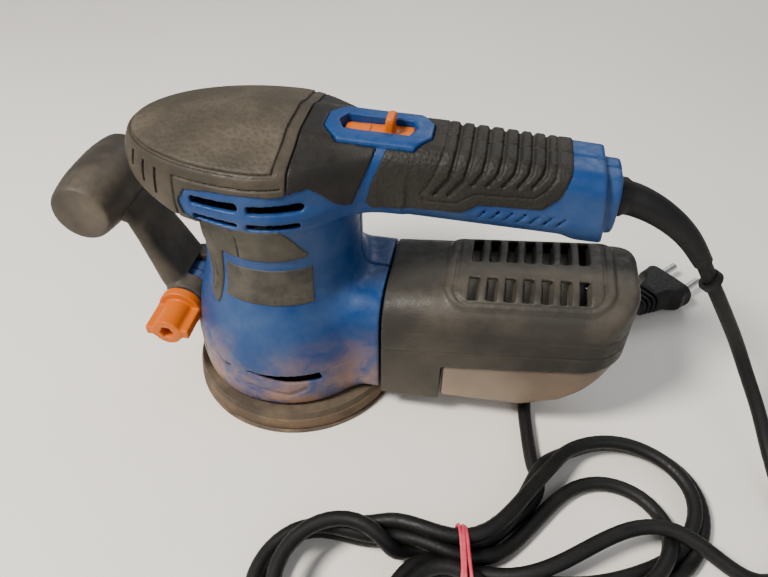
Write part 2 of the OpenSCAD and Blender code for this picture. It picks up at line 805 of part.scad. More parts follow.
function bin_side(t) = [[91.4 + t, t > 0 ? 80 : lid_edge(91.4) - gap], [91.4 + t, 17 + t], [137, 19 + t],
    [158, 27 + t], [174 - t, 40 + t], [box_rear - 3 - t, lid_edge(box_rear) - gap - 4],
    [box_rear - 3 - t, t > 0 ? 80 : lid_edge(box_rear - 3) - gap]];
module dust_bin() {
    color(smoke) difference() {
        box_form(bin_side(0), 1);
        box_form(bin_side(2), 3);
    }
}

// ---- front handle ----

module aux_arm() {
    color(dark) difference() {
        union() {
            for (s = [-1, 1]) rod_y(pivot_x, s < 0 ? -hub_w / 2 : lug_w / 2 + gap,
                s < 0 ? -lug_w / 2 - gap : hub_w / 2, pivot_z, hub_r);
            for (s = [-1, 1]) rotate([90, 0, 0]) translate([0, 0, s < 0 ? -hub_w / 2 : lug_w / 2 + gap])
                linear_extrude(hub_w / 2 - lug_w / 2 - gap)
                    polygon([[-71.9, 54], [-75, 62], [-79.6, 80], [-66.5, 80], [-60, 64.9], [-61, 60]]);
            rotate([90, 0, 0]) translate([0, 0, -17]) linear_extrude(34)
                polygon([[-77.5, 72], [-81, 84], [-86, 101], [-98, 104.5], [-92, 119.5], [-77, 101],
                    [-71.5, 88], [-63.5, 72]]);
        }
        rod_y(pivot_x, -30, 30, pivot_z, bolt_r + run);
        rod_y(bar_x, -40, 40, bar_z, bar_r - 6.5);
    }
}

function bar_profile() = [[0, -31.5], [12, -31.5], [15, -29.5], [16.8, -24], [bar_r - 0.4, -14], [bar_r, 0],
    [bar_r - 0.4, 14], [16.8, 24], [15, 29.5], [12, 31.5], [0, 31.5]];
module aux_grip() {
    color([0.20, 0.19, 0.18]) difference() {
        translate([bar_x, 0, bar_z]) rotate([90, 0, 0]) rotate_extrude() polygon(bar_profile());
        rotate([90, 0, 0]) translate([0, 0, -17.1]) linear_extrude(34.2)
            polygon([[-72, 60], [-81.1, 83.9], [-86.2, 100.8], [-98.1, 104.3], [-92, 119.7], [-76.9, 101.2],
                [-60, 82]]);
    }
}

knob_y = -hub_w / 2 - 2;
module aux_bolt() {
    color(steel) union() {
        rod_y(pivot_x, knob_y - 13, hub_w / 2 + 1, pivot_z, bolt_r);
        rod_y(pivot_x, hub_w / 2 + 0.05, hub_w / 2 + 3, pivot_z, 6);
    }
}

module aux_washer() {
    color(steel) difference() {
        rod_y(pivot_x, -hub_w / 2 - 1.7, -hub_w / 2 - 0.05, pivot_z, 8);
        rod_y(pivot_x, -30, 0, pivot_z, bolt_r + fit);
    }
}

module aux_knob() {
    color(orange) difference() {
        union() {
            rod_y(pivot_x, knob_y - 5, knob_y, pivot_z, 12);
            rod_y(pivot_x, knob_y - 24, knob_y - 4, pivot_z, 8);
            for (i = [0, 1]) translate([pivot_x, 0, pivot_z]) rotate([0, 180 * i, 0])
                translate([5, knob_y - 23, -2.8]) cube([6.8, 19, 5.6]);
        }
        rod_y(pivot_x, knob_y - 15, knob_y + 1, pivot_z, bolt_r + run);
        translate([pivot_x, knob_y - 25, pivot_z]) rotate([-90, 0, 0]) cylinder(r = 3.6, h = 8, $fn = 6);
    }
}

pad_hook_disc();
pad_foam();
pad_plate();
pad_spindle();
pad_screw();
pad_bearing();
eccentric_hub();
counterweight();
dust_fan();
motor_shaft();
armature_core();
armature_coils();
commutator();
cooling_fan();
lower_bearing();
upper_bearing();
bearing_plate();
stator_core();
stator_coils();
brush_holders();
brushes();
brush_springs();
brake_ring();
housing_left();
housing_right();
housing_screws();
front_panel();
name_plate();
cap_shell();
cap_pad();
cap_saddle();
grip_left();
grip_right();
switch_bezel();
switch_slider();
switch_block();
capacitor();
inner_lead();
cord_clamp();
cord_guard();
cord_ring();
duct_sleeve();
duct_seal();
box_cover();
filter_frame();
dust_filter();
dust_bin();
aux_arm();
aux_grip();
aux_bolt();
aux_washer();
aux_knob();
mains_cord_near();
mains_cord_far();
cord_hank();
cord_band();
plug_body();
plug_pins();
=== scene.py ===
import math

import bpy
import numpy as np
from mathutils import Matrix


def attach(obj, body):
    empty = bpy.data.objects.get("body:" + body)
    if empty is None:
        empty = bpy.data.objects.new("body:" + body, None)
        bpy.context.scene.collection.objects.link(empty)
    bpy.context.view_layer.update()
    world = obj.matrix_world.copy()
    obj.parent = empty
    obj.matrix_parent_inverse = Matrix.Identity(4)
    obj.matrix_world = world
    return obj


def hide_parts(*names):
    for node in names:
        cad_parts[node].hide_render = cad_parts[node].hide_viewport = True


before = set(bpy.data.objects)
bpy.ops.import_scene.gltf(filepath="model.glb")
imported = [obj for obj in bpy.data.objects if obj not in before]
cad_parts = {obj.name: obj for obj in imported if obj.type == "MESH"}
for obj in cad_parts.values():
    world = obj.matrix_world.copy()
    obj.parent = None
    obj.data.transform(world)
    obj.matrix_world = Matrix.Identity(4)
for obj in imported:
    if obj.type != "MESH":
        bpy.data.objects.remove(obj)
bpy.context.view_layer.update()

import openvdb
from mathutils import Matrix, Vector

# All shapes below are in millimetres; a mesh is scaled to metres when it is made.
MM = 0.001

# The motor axis stands beside the origin, which is the centre of the sanding face.
MOTOR_X = -2.0

# Bolt of the front handle and axis of its cross grip, as (x, z).
PIVOT = (-60.5, 53.5)
BAR = (-102.0, 115.5)
BOLT_HOLE = 3.05

# Axis height of the dust outlet and of the lead's exit.
OUTLET_Z = 47
LEAD_Z = 142.7

# Far away from any surface, as a starting value.
FAR_OFF = 1e9


def grid_step(fine):
    return fine


# ---- camera ----

cam_data = bpy.data.cameras.new("camera")
cam_data.lens = 31.9
cam_data.sensor_width = 36
cam = bpy.data.objects.new("camera", cam_data)
turn = Matrix.Rotation(math.radians(10), 4, "Z") @ Matrix.Rotation(math.radians(47), 4, "X")
turn = turn @ Matrix.Rotation(math.radians(0.4), 4, "Z")
cam.matrix_world = Matrix.Translation((0.102, -0.2785, 0.328)) @ turn
bpy.context.scene.collection.objects.link(cam)
bpy.context.scene.camera = cam

# ---- materials ----
# Each material is worked out from the object's own coordinates.


def material(name):
    mat = bpy.data.materials.new(name)
    mat.use_nodes = True
    tree = mat.node_tree
    shader = tree.nodes["Principled BSDF"]
    coord = tree.nodes.new("ShaderNodeTexCoord")
    return mat, tree, shader, coord.outputs["Object"]


def noise(tree, where, scale, detail=4.0, rough=0.55, distort=0.0):
    n = tree.nodes.new("ShaderNodeTexNoise")
    n.inputs["Scale"].default_value = scale
    n.inputs["Detail"].default_value = detail
    n.inputs["Roughness"].default_value = rough
    n.inputs["Distortion"].default_value = distort
    tree.links.new(where, n.inputs["Vector"])
    return n.outputs["Fac"]


def ramp(tree, value, stops):
    r = tree.nodes.new("ShaderNodeValToRGB")
    elements = r.color_ramp.elements
    while len(elements) < len(stops):
        elements.new(0.5)
    for e, (at, col) in zip(elements, stops):
        e.position = at
        e.color = (*col, 1) if isinstance(col, tuple) else (col, col, col, 1)
    tree.links.new(value, r.inputs["Fac"])
    return r.outputs["Color"]


def spread(tree, value, low_in, high_in, low_out, high_out):
    m = tree.nodes.new("ShaderNodeMapRange")
    limits = (low_in, high_in, low_out, high_out)
    for key, v in zip(("From Min", "From Max", "To Min", "To Max"), limits):
        m.inputs[key].default_value = v
    tree.links.new(value, m.inputs["Value"])
    return m.outputs["Result"]


def times(tree, a, b):
    m = tree.nodes.new("ShaderNodeMath")
    m.operation = "MULTIPLY"
    m.use_clamp = True
    tree.links.new(a, m.inputs[0])
    tree.links.new(b, m.inputs[1])
    return m.outputs[0]


def mixed(tree, amount, a, b):
    m = tree.nodes.new("ShaderNodeMix")
    m.data_type = "RGBA"
    tree.links.new(amount, m.inputs["Factor"])
    for key, v in (("A", a), ("B", b)):
        sock = [s for s in m.inputs if s.name == key and s.type == "RGBA"][0]
        if isinstance(v, tuple):
            sock.default_value = (*v, 1)
        else:
            tree.links.new(v, sock)
    return [s for s in m.outputs if s.type == "RGBA"][0]


def bumped(tree, shader, height, strength, distance):
    b = tree.nodes.new("ShaderNodeBump")
    b.inputs["Strength"].default_value = strength
    b.inputs["Distance"].default_value = distance
    tree.links.new(height, b.inputs["Height"])
    tree.links.new(b.outputs["Normal"], shader.inputs["Normal"])


SPECULAR = 0.28


# Base colour under blotches of dirt; `dusty` is how much the dirt covers. `floor_dust` is the
# brown dust that gathers near the floor, up to the height `dust_top`.
def plastic(name, base, dirt, dusty=0.5, rough=0.5, blotch=28.0, grain=900.0, bump=0.25,
            floor_dust=None, dust_top=0.066, metal=0.0):
    mat, tree, shader, where = material(name)
    broad = noise(tree, where, blotch, 5.0, 0.6)
    fine = noise(tree, where, blotch * 9, 3.0, 0.65)
    col = ramp(tree, broad, [(0.3, tuple(c * 0.82 for c in base)), (0.7, base)])
    cover = times(tree, ramp(tree, broad, [(0.42, 0.0), (0.72, dusty)]),
                  ramp(tree, fine, [(0.25, 0.45), (0.65, 1.0)]))
    col = mixed(tree, cover, col, dirt)
    if floor_dust:
        sep = tree.nodes.new("ShaderNodeSeparateXYZ")
        tree.links.new(where, sep.inputs[0])
        fall = spread(tree, sep.outputs["Z"], 0.014, dust_top, 1.0, 0.0)
        patch = ramp(tree, noise(tree, where, 42.0, 6.0, 0.62, 0.6), [(0.40, 0.08), (0.58, 1.0)])
        col = mixed(tree, times(tree, fall, patch), col, floor_dust)
    tree.links.new(col, shader.inputs["Base Color"])
    rough_map = spread(tree, fine, 0.3, 0.7, rough - 0.1, min(1.0, rough + 0.18))
    tree.links.new(rough_map, shader.inputs["Roughness"])
    shader.inputs["Metallic"].default_value = metal
    shader.inputs["Specular IOR Level"].default_value = 0.5 if metal else SPECULAR
    bumped(tree, shader, noise(tree, where, grain, 2.0, 0.5), bump, 0.0003)
    return mat


# Rubber with a cell pattern moulded into it.
def pebbled(name, base, dirt, cell, depth, dusty, rough):
    mat, tree, shader, where = material(name)
    vor = tree.nodes.new("ShaderNodeTexVoronoi")
    vor.inputs["Scale"].default_value = cell
    tree.links.new(where, vor.inputs["Vector"])
    broad = noise(tree, where, 30.0, 5.0, 0.62)
    col = ramp(tree, broad, [(0.3, tuple(c * 0.8 for c in base)), (0.7, base)])
    cover = times(tree, ramp(tree, broad, [(0.4, 0.1), (0.75, dusty)]),
                  spread(tree, vor.outputs["Distance"], 0.1, 0.7, 0.4, 1.0))
    tree.links.new(mixed(tree, cover, col, dirt), shader.inputs["Base Color"])
    shader.inputs["Roughness"].default_value = rough
    shader.inputs["Specular IOR Level"].default_value = SPECULAR
    bumped(tree, shader, vor.outputs["Distance"], depth, 0.0004)
    return mat


mats = {
    "blue": plastic("blue", (0.0015, 0.038, 0.155), (0.075, 0.115, 0.185), 0.55, 0.42,
                    floor_dust=(0.27, 0.15, 0.085)),
    "dark": plastic("dark", (0.036, 0.029, 0.020), (0.086, 0.068, 0.045), 0.7, 0.55, bump=0.35),
    "saddle": plastic("saddle", (0.009, 0.0078, 0.0064), (0.026, 0.021, 0.015), 0.5, 0.5, bump=0.35),
    "arm": plastic("arm", (0.034, 0.029, 0.023), (0.15, 0.12, 0.085), 0.6, 0.55, 22.0, bump=0.3),
    "pebble": pebbled("pebble", (0.040, 0.033, 0.023), (0.115, 0.093, 0.063), 400.0, 1.0, 0.6, 0.62),
    "weave": pebbled("weave", (0.011, 0.0096, 0.0072), (0.038, 0.033, 0.024), 560.0, 0.7, 0.5, 0.6),
    "panel": plastic("panel", (0.050, 0.045, 0.033), (0.125, 0.113, 0.085), 0.8, 0.72, 34.0, bump=0.3),
    "plate": plastic("plate", (0.035, 0.032, 0.026), (0.13, 0.115, 0.085), 0.6, 0.5, 70.0),
    "orange": plastic("orange", (0.60, 0.118, 0.0), (0.38, 0.085, 0.002), 0.4, 0.42, 60.0, bump=0.1),
    "box": plastic("box", (0.030, 0.027, 0.022), (0.115, 0.095, 0.068), 0.55, 0.5, 20.0, bump=0.4),
    "rubber": plastic("rubber", (0.005, 0.005, 0.005), (0.018, 0.016, 0.014), 0.35, 0.5, 60.0, bump=0.25),
    "foam": plastic("foam", (0.10, 0.070, 0.044), (0.22, 0.14, 0.082), 0.85, 0.85, 40.0, 1400.0, 0.9),
    "hook": plastic("hook", (0.10, 0.075, 0.055), (0.24, 0.17, 0.11), 0.8, 0.9, 60.0, 1800.0, 1.0),
    "backing": plastic("backing", (0.060, 0.046, 0.032), (0.16, 0.115, 0.072), 0.8, 0.7, 40.0),
    "plain": plastic("plain", (0.05, 0.05, 0.052), (0.10, 0.09, 0.08), 0.4, 0.55),
    "steel": plastic("steel", (0.56, 0.56, 0.57), (0.35, 0.33, 0.31), 0.4, 0.3, metal=1.0, bump=0.05),
    "cast": plastic("cast", (0.45, 0.46, 0.47), (0.30, 0.28, 0.26), 0.5, 0.5, metal=0.9, bump=0.3),
    "copper": plastic("copper", (0.62, 0.27, 0.12), (0.30, 0.13, 0.07), 0.5, 0.35, 90.0, metal=1.0),
    "carbon": plastic("carbon", (0.03, 0.03, 0.032), (0.08, 0.08, 0.08), 0.4, 0.6, 90.0),
    "laminate": plastic("laminate", (0.22, 0.22, 0.23), (0.12, 0.10, 0.09), 0.5, 0.5, 60.0, metal=0.8),
    "paper": plastic("paper", (0.62, 0.57, 0.48), (0.40, 0.31, 0.22), 0.8, 0.9, 60.0, bump=0.6),
    "amber": plastic("amber", (0.52, 0.40, 0.10), (0.30, 0.22, 0.10), 0.5, 0.5, 60.0),
    "band": plastic("band", (0.62, 0.05, 0.09), (0.80, 0.20, 0.22), 0.6, 0.5, 140.0, bump=0.2),
}


# Smoky translucent plastic, with sanding dust settled on its bottom.
def smoked(name):
    mat, tree, shader, where = material(name)
    broad = noise(tree, where, 26.0, 5.0, 0.6)
    col = ramp(tree, broad, [(0.3, (0.17, 0.125, 0.088)), (0.7, (0.27, 0.21, 0.155))])
    sep = tree.nodes.new("ShaderNodeSeparateXYZ")
    tree.links.new(where, sep.inputs[0])
    settled = times(tree, spread(tree, sep.outputs["Z"], 0.02, 0.05, 0.55, 0.0),
                    ramp(tree, noise(tree, where, 70.0, 4.0), [(0.3, 0.3), (0.7, 1.0)]))
    tree.links.new(mixed(tree, settled, col, (0.40, 0.26, 0.16)), shader.inputs["Base Color"])
    tree.links.new(spread(tree, broad, 0.3, 0.7, 0.34, 0.55), shader.inputs["Roughness"])
    tree.links.new(spread(tree, broad, 0.3, 0.7, 0.34, 0.16), shader.inputs["Transmission Weight"])
    bumped(tree, shader, noise(tree, where, 700.0, 2.0), 0.15, 0.0003)
    return mat


mats["smoke"] = smoked("smoke")

# ---- solids from distance fields ----
# A field is negative inside the solid. join, both and cut unite, intersect and subtract, with an
# edge rounded by about k.


def axes(lo, hi, step):
    out = []
    for i in range(3):
        n = int(round((hi[i] - lo[i]) / step)) + 1
        line = lo[i] + step * np.arange(n, dtype=np.float32)
        out.append(line.reshape([-1 if k == i else 1 for k in range(3)]))
    return out


def join(a, b, k):
    t = np.clip(0.5 + 0.5 * (b - a) / k, 0, 1)
    return b + (a - b) * t - k * t * (1 - t)


def both(a, b, k=0.6):
    return -join(-a, -b, k)


def cut(a, b, k=0.6):
    return -join(-a, b, k)


def slab(u, v, hu, hv, r):
    qu = np.abs(u) - (hu - r)
    qv = np.abs(v) - (hv - r)
    outside = np.hypot(np.maximum(qu, 0), np.maximum(qv, 0))
    return outside + np.minimum(np.maximum(qu, qv), 0) - r


# A slab whose upper and lower halves have their own height and corner radius.
def slab_two(u, v, hu, top, low, r_top, r_low):
    above = slab(u, v + (hu - top), hu, hu, r_top)
    below = slab(u, v + (low - hu), hu, hu, r_low)
    return np.where(v > 0, above, below)


def block(x, y, z, lo, hi, r=0.5):
    mid = [(a + b) / 2 for a, b in zip(lo, hi)]
    half = [(b - a) / 2 - r for a, b in zip(lo, hi)]
    qx = np.abs(x - mid[0]) - half[0]
    qy = np.abs(y - mid[1]) - half[1]
    qz = np.abs(z - mid[2]) - half[2]
    out = np.sqrt(np.maximum(qx, 0) ** 2 + np.maximum(qy, 0) ** 2 + np.maximum(qz, 0) ** 2)
    return out + np.minimum(np.maximum(np.maximum(qx, qy), qz), 0) - r


# Signed distance to a closed polygon.
def region(u, v, pts):
    best = np.full(np.broadcast(u, v).shape, FAR_OFF, np.float32)
    sign = np.ones_like(best)
    for (a, b), (c, d) in zip(pts, pts[1:] + pts[:1]):
        ex, ey = c - a, d - b
        wx, wy = u - a, v - b
        t = np.clip((wx * ex + wy * ey) / (ex * ex + ey * ey), 0, 1)
        best = np.minimum(best, (wx - t * ex) ** 2 + (wy - t * ey) ** 2)
        up = (v >= b) & (v < d) & (ex * wy > ey * wx)
        down = (v < b) & (v >= d) & (ex * wy <= ey * wx)
        sign = np.where(up | down, -sign, sign)
    return sign * np.sqrt(best)


# Distance to an open line.
def line_near(u, v, pts):
    best = np.full(np.broadcast(u, v).shape, FAR_OFF, np.float32)
    for (a, b), (c, d) in zip(pts, pts[1:]):
        ex, ey = c - a, d - b
        wx, wy = u - a, v - b
        t = np.clip((wx * ex + wy * ey) / (ex * ex + ey * ey), 0, 1)
        best = np.minimum(best, (wx - t * ex) ** 2 + (wy - t * ey) ** 2)
    return np.sqrt(best)


# The largest pieces are thinned to this; smaller ones keep a fixed share of their triangles.
MOST_TRIANGLES = 72000
SMALL_ENOUGH = MOST_TRIANGLES / 3
KEPT_SHARE = 0.4


def thinned(obj, share):
    collapse = obj.modifiers.new("thin", "DECIMATE")
    collapse.ratio = share
    view = bpy.context.evaluated_depsgraph_get()
    mesh = bpy.data.meshes.new_from_object(obj.evaluated_get(view))
    obj.modifiers.clear()
    obj.data = mesh
    mesh.shade_smooth()


# Turns the field `d`, whose grid starts at `lo`, into a mesh. The outermost layer of the grid is
# made empty first, so the mesh is always closed.
def skin(name, d, lo, step, body, nodes, mat):
    d = np.array(d, np.float32)
    for i in range(3):
        ends = [slice(None)] * 3
        for end in (0, -1):
            ends[i] = end
            d[tuple(ends)] = np.maximum(d[tuple(ends)], 0.6 * step)
    reach = 3 * step
    d = np.clip(d, -reach, reach)
    vol = openvdb.FloatGrid(reach)
    vol.copyFromArray(np.ascontiguousarray(d))
    pts, _, quads = vol.convertToPolygons(0.0, 0.0)
    pts = (np.array(pts) * step + np.array(lo)) * MM
    sides = quads[:, ::-1]
    mesh = bpy.data.meshes.new(name)
    mesh.vertices.add(len(pts))
    mesh.vertices.foreach_set("co", pts.astype(np.float32).ravel())
    mesh.loops.add(sides.size)
    mesh.loops.foreach_set("vertex_index", sides.astype(np.int32).ravel())
    mesh.polygons.add(len(sides))
    mesh.polygons.foreach_set("loop_start", np.arange(len(sides), dtype=np.int32) * 4)
    mesh.update(calc_edges=True)
    a, b, c = (pts[sides[:, k]] for k in (0, 1, 2))
    if np.einsum("ij,ij->i", np.cross(a, b), c).sum() < 0:
        mesh.flip_normals()
    mesh.shade_smooth()
    obj = bpy.data.objects.new(name, mesh)
    bpy.context.scene.collection.objects.link(obj)
    triangles = 2 * len(quads)
    if triangles > SMALL_ENOUGH:
        thinned(obj, min(MOST_TRIANGLES, KEPT_SHARE * triangles) / triangles)
    obj.data.materials.append(mats[mat])
    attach(obj, body)
    if nodes:
        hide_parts(*nodes)
    return obj


# ---- the shape of the body ----

# Half length and half width of the oval head.
HEAD_A, HEAD_B = 76.0, 47.0

# Radius of the bell over its height, as (z, radius).
BELL = [(14, 54.4), (17, 54.8), (21, 55.4), (27, 55.8), (36, 55.4), (40.2, 54.9), (41.2, 55.6),
        (48, 54.6), (55, 53.0), (62, 51.0), (69, 48.8), (76, 46.6), (83, 44.6), (90, 43.0), (96, 42.4),
        (118, 42.4), (124, 42.9), (129, 44.2), (133, 45.6), (140, 46.4)]


# Distance from the motor axis and direction in degrees.
def around(x, y):
    return np.hypot(x - MOTOR_X, y), np.degrees(np.arctan2(y, x - MOTOR_X))


def bell(x, y, z):
    rho, _ = around(x, y)
    hs, rs = zip(*BELL)
    r = np.interp(z, hs, rs)
    lean = np.interp(z, [14, 44, 60, 76, 92, 100], [1, 1, 0.98, 0.92, 0.97, 1])
    return (rho - r.astype(np.float32)) * lean.astype(np.float32)


def ease(t):
    return 0.5 + 0.5 * np.cos(np.pi * np.clip(t, 0, 1))


# Oval in front of the motor axis, narrowing to the handle's width behind it.
def head_side(x, y):
    u, w = (x - MOTOR_X) / HEAD_A, y / HEAD_B
    ring = np.hypot(u, w)
    slope = np.maximum(np.hypot(u / HEAD_A, w / HEAD_B), 1e-5)
    tip = ring * (ring - 1) / slope
    half = 20.3 + (HEAD_B - 20.3) * ease((x - MOTOR_X) / 66)
    return np.where(x < MOTOR_X, tip, np.abs(y) - half)


def dome(x, y):
    fall = 7 * (np.maximum(0, -10 - x) / 68) ** 2 + 1.2 * (1 - ease((x - 12) / 30))
    return 167.6 - 7.5 * (y / HEAD_B) ** 2 - fall


def head(x, y, z):
    stations = [120, 131, 134, 140, 148, 152, 156, 159, 161.5, 163, 166, 170]
    inset = np.interp(z, stations, [3, 1.6, 0.4, 0, 0, 0.5, 1.8, 3.2, 5.0, 8.0, 20, 40])
    lean = np.interp(z, stations, [1, 1, 1, 1, 1, 0.97, 0.93, 0.88, 0.7, 0.45, 0.3, 0.3])
    side = (head_side(x, y) + inset.astype(np.float32)) * lean.astype(np.float32)
    under = 131 + np.maximum(0, -37 - x) * 0.29 - z
    return np.maximum(both(both(side, z - dome(x, y), 2.5), under, 3.0), x - 64)


def handle_axis(x):
    return 145.3 - (x - 40) * math.tan(math.radians(1.3))


def handle_top(x):
    return 22.3 - np.maximum(0, x - 82) * 0.032


def handle(x, y, z):
    v = z - handle_axis(x)
    belly = 1 + 0.13 * (1 - ease((x - 138) / 10)) * (v < 0)
    bar = slab_two(y, v / belly, 20.5, handle_top(x), 20.0, 10.5, 16.0)
    rear = x - (155 + (165 - z) * 0.13)
    bar = both(both(bar, rear, 1.6), -16.0 - x, 1.0)
    boss = both(slab(y, v, 16.8, 16.6, 12.0), x - 163.8, 2.5)
    return join(bar, both(boss, 140 - x), 0.8)


def upper(x, y, z):
    return join(head(x, y, z), handle(x, y, z), 5.0)


def duct(x, y, z):
    top = slab(y, np.maximum(z - 64.5, 0), 34.8, 17.6, 16.0)
    bottom = slab(y, np.minimum(z - 34.5, 0), 34.8, 17.9, 6.0)
    return both(both(np.maximum(top, bottom), x - 56.1, 0.6), 10 - x)


# Outlines seen from the side, as (x, z): the blue part of the housing and the soft grip.
BLUE_SIDE = [(-36.7, 142.6), (-31.9, 150.0), (-20, 151.6), (0, 151.8), (14, 150.9), (19.5, 152.2),
             (24.2, 152.8), (28.6, 149.2), (34.6, 142.4), (38.5, 140.2), (42.4, 139.6), (53.4, 168.2),
             (62, 190), (240, 190), (240, 100), (-26, 100), (-25.3, 131), (-35.0, 136.2)]
GRIP = [(45.5, 138.4), (51.8, 136.5), (92.5, 137.3), (100.4, 143.0), (129.0, 144.0), (135.5, 151.0),
        (139.3, 161.1), (141.4, 172.2), (142.4, 190), (66, 190), (57.5, 168.6)]

# The octagonal switch frame and its slot from above, as (x, y).
OCTO = [(25.4, -6.0), (33.2, -15.4), (68.6, -15.4), (75.8, -6.0), (75.8, 6.0), (68.6, 15.4),
        (33.2, 15.4), (25.4, 6.0)]
SLOT = [(31.5, 0), (34.6, -6.6), (65.2, -6.6), (68.2, 0), (65.2, 6.6), (34.6, 6.6)]

# The line moulded into each grip, as (x, z).
INNER = [(73.1, 145.6), (75.4, 142.3), (89.3, 142.5), (97.8, 148.6), (124.5, 149.8), (129.4, 154.4),
         (132.6, 160.0), (135.2, 190), (92, 190), (82.5, 166.0), (77.5, 153.0)]


# ---- blue housing halves ----

WALL = 2.6

# Depth by which the blue plastic lies under the dark shells and grips.
SUNK = 2.2

# Cooling slots in both sides of the head, as (x from, x to, z from, z to).
VENTS = [(-30.5, -7.0, 142.6, 147.0), (-2.4, 22.0, 142.2, 146.6), (-30.5, -8.0, 133.6, 136.9),
         (-3.2, 20.4, 133.6, 136.9)]


# The crescent cut through the bell, the wedge at its front end and the ledge below it, as
# (degrees from the side, z).
CRESCENT = [(-12.0, 40.0), (-4, 37.6), (6, 35.4), (18, 34.4), (31.5, 34.4), (29.5, 40.2), (12, 40.6),
            (-12.0, 41.0)]
WEDGE = [(-32.5, 41.4), (-22.5, 39.4), (-27.0, 36.4)]
LEDGE = [(-14, 29.0), (12, 23.6), (23, 29.0), (21, 31), (11, 26.6), (-14, 30.8)]

SCREWS = ((-66, 141), (22, 141), (100, 133), (151, 133), (47, 74), (47, 21.6))


def housing(x, y, z):
    under = np.clip(region(x, z, BLUE_SIDE) - 1.2, 0, SUNK)
    under = np.maximum(under, np.clip(-region(x, z, GRIP) - 1.2, 0, SUNK))
    low_bell = both(bell(x, y, z), z - 141, 4.0)
    whole = join(join(upper(x, y, z) + 0.9 + under, low_bell, 4.0), duct(x, y, z), 6.0)
    whole = np.maximum(whole, 16.6 - z)
    inside = np.maximum(whole + WALL, 12 - z)
    mouth = both(bell(x, y, z) + WALL, z - 60)
    d = cut(cut(whole, inside, 0.3), mouth, 0.3)
    rho, az = around(x, y)
    for a, b, c, e in VENTS:
        hole = slab(x - (a + b) / 2, z - (c + e) / 2, (b - a) / 2, (e - c) / 2, 0.9)
        d = cut(d, np.maximum(hole, 30 - np.abs(y)), 0.5)
    arc_u = (90 - np.abs(az)) * 0.98
    arc = np.minimum(region(arc_u, z, CRESCENT), region(arc_u, z, WEDGE))
    d = cut(d, np.maximum(arc, 46 - rho), 0.4)
    d = cut(d, np.maximum(region(arc_u, z, LEDGE), 54.6 - rho), 0.4)
    from_bolt = np.hypot(x - PIVOT[0], z - PIVOT[1])
    d = cut(d, np.maximum(from_bolt - 12.6, np.abs(y) - 30), 0.6)
    d = cut(d, np.maximum(np.hypot(y, z - OUTLET_Z) - 20.4, 48 - x), 0.4)
    pocket = block(x, y, z, (30, -7.6, 157.4), (78, 7.6, 200), 0.5)
    d = cut(d, pocket, 0.3)
    d = cut(d, np.maximum(np.hypot(y, z - LEAD_Z) - 6.2, 150 - x), 0.3)
    for screw_x, screw_z in SCREWS:
        well = np.hypot(x - screw_x, z - screw_z) - 3.6
        d = cut(d, np.maximum(well, 9 - y), 0.4)
    for i in range(7):
        a = 100.5 + 6.1 * i
        tick = line_near(x, z, [(a, 135.4), (a + 3.4, 139.6)]) - 0.45
        d = cut(d, np.maximum(tick, 17 - np.abs(y)), 0.4)
    lug = np.minimum(from_bolt - 8.5, slab(x + 54.0, z - PIVOT[1], 6.5, 6, 1))
    lug = cut(np.maximum(lug, np.abs(y) - 8), from_bolt - BOLT_HOLE)
    return np.minimum(d, lug)


# The halves part at y = 0, and each stops a little short of it.
STEP = grid_step(1.0)
for side, name in ((-1, "left"), (1, "right")):
    lo = (-92.0, -62.0 if side < 0 else -2.0, 14.0)
    hi = (170.0, 2.0 if side < 0 else 62.0, 172.0)
    x, y, z = axes(lo, hi, STEP)
    field = np.maximum(housing(x, y, z), 0.12 - side * y)
    skin("shell_" + name, field, lo, STEP, "housing", ["housing_" + name], "blue")

# ---- dark cap, palm pad and saddle ----
# A dark shell fills the head's outline where the blue plastic is not.

SHELL = 3.0
SEAM_Z = 155.0

lo, hi = (-84.0, -50.0, 128.0), (18.0, 50.0, 171.0)
STEP_CAP = grid_step(0.6)
x, y, z = axes(lo, hi, STEP_CAP)
env = upper(x, y, z)
zone = np.maximum(0.5 - region(x, z, BLUE_SIDE), x - 15.3)
cap = np.maximum(both(env, zone, 0.4), -env - SHELL)
pad_zone = np.maximum(head_side(x, y) + 5.4, x - 9.8)
rim = np.maximum(np.abs(pad_zone) - 0.75, 152 - z)
cap = cut(cap, np.maximum(rim, -env - 1.1), 0.5)
seam = np.abs(z - SEAM_Z) - 0.42
seam = np.maximum(seam, np.maximum(-38.4 - x, x - 13.4))
upright = np.maximum(np.abs(x + 38.0 - (z - 154) * 0.05) - 0.5, z - SEAM_Z)
cap = cut(cap, np.maximum(np.minimum(seam, upright), -env - 1.0), 0.4)
for groove_x, top, bottom in ((-63.5, 156.8, 149.0), (-55.9, 156.0, 144.0), (-48.2, 155.4, 141.0)):
    lean = np.abs(x - groove_x - (z - 154) * 0.14) - 0.6
    groove = np.maximum(np.maximum(lean, z - top), bottom - z)
    cap = cut(cap, np.maximum(groove, -env - 1.5), 0.4)
skin("palm_cap", cap, lo, STEP_CAP, "housing", ["cap_shell"], "dark")

lo, hi = (-80.0, -44.0, 152.0), (12.0, 44.0, 170.0)
x, y, z = axes(lo, hi, STEP_CAP)
env = upper(x, y, z)
pad = both(np.maximum(env - 0.45, -env - 1.6), np.maximum(head_side(x, y) + 6.0, x - 9.2), 0.7)
pad = np.maximum(pad, 153 - z)
skin("palm_pad", pad, lo, STEP_CAP, "housing", ["cap_pad"], "pebble")

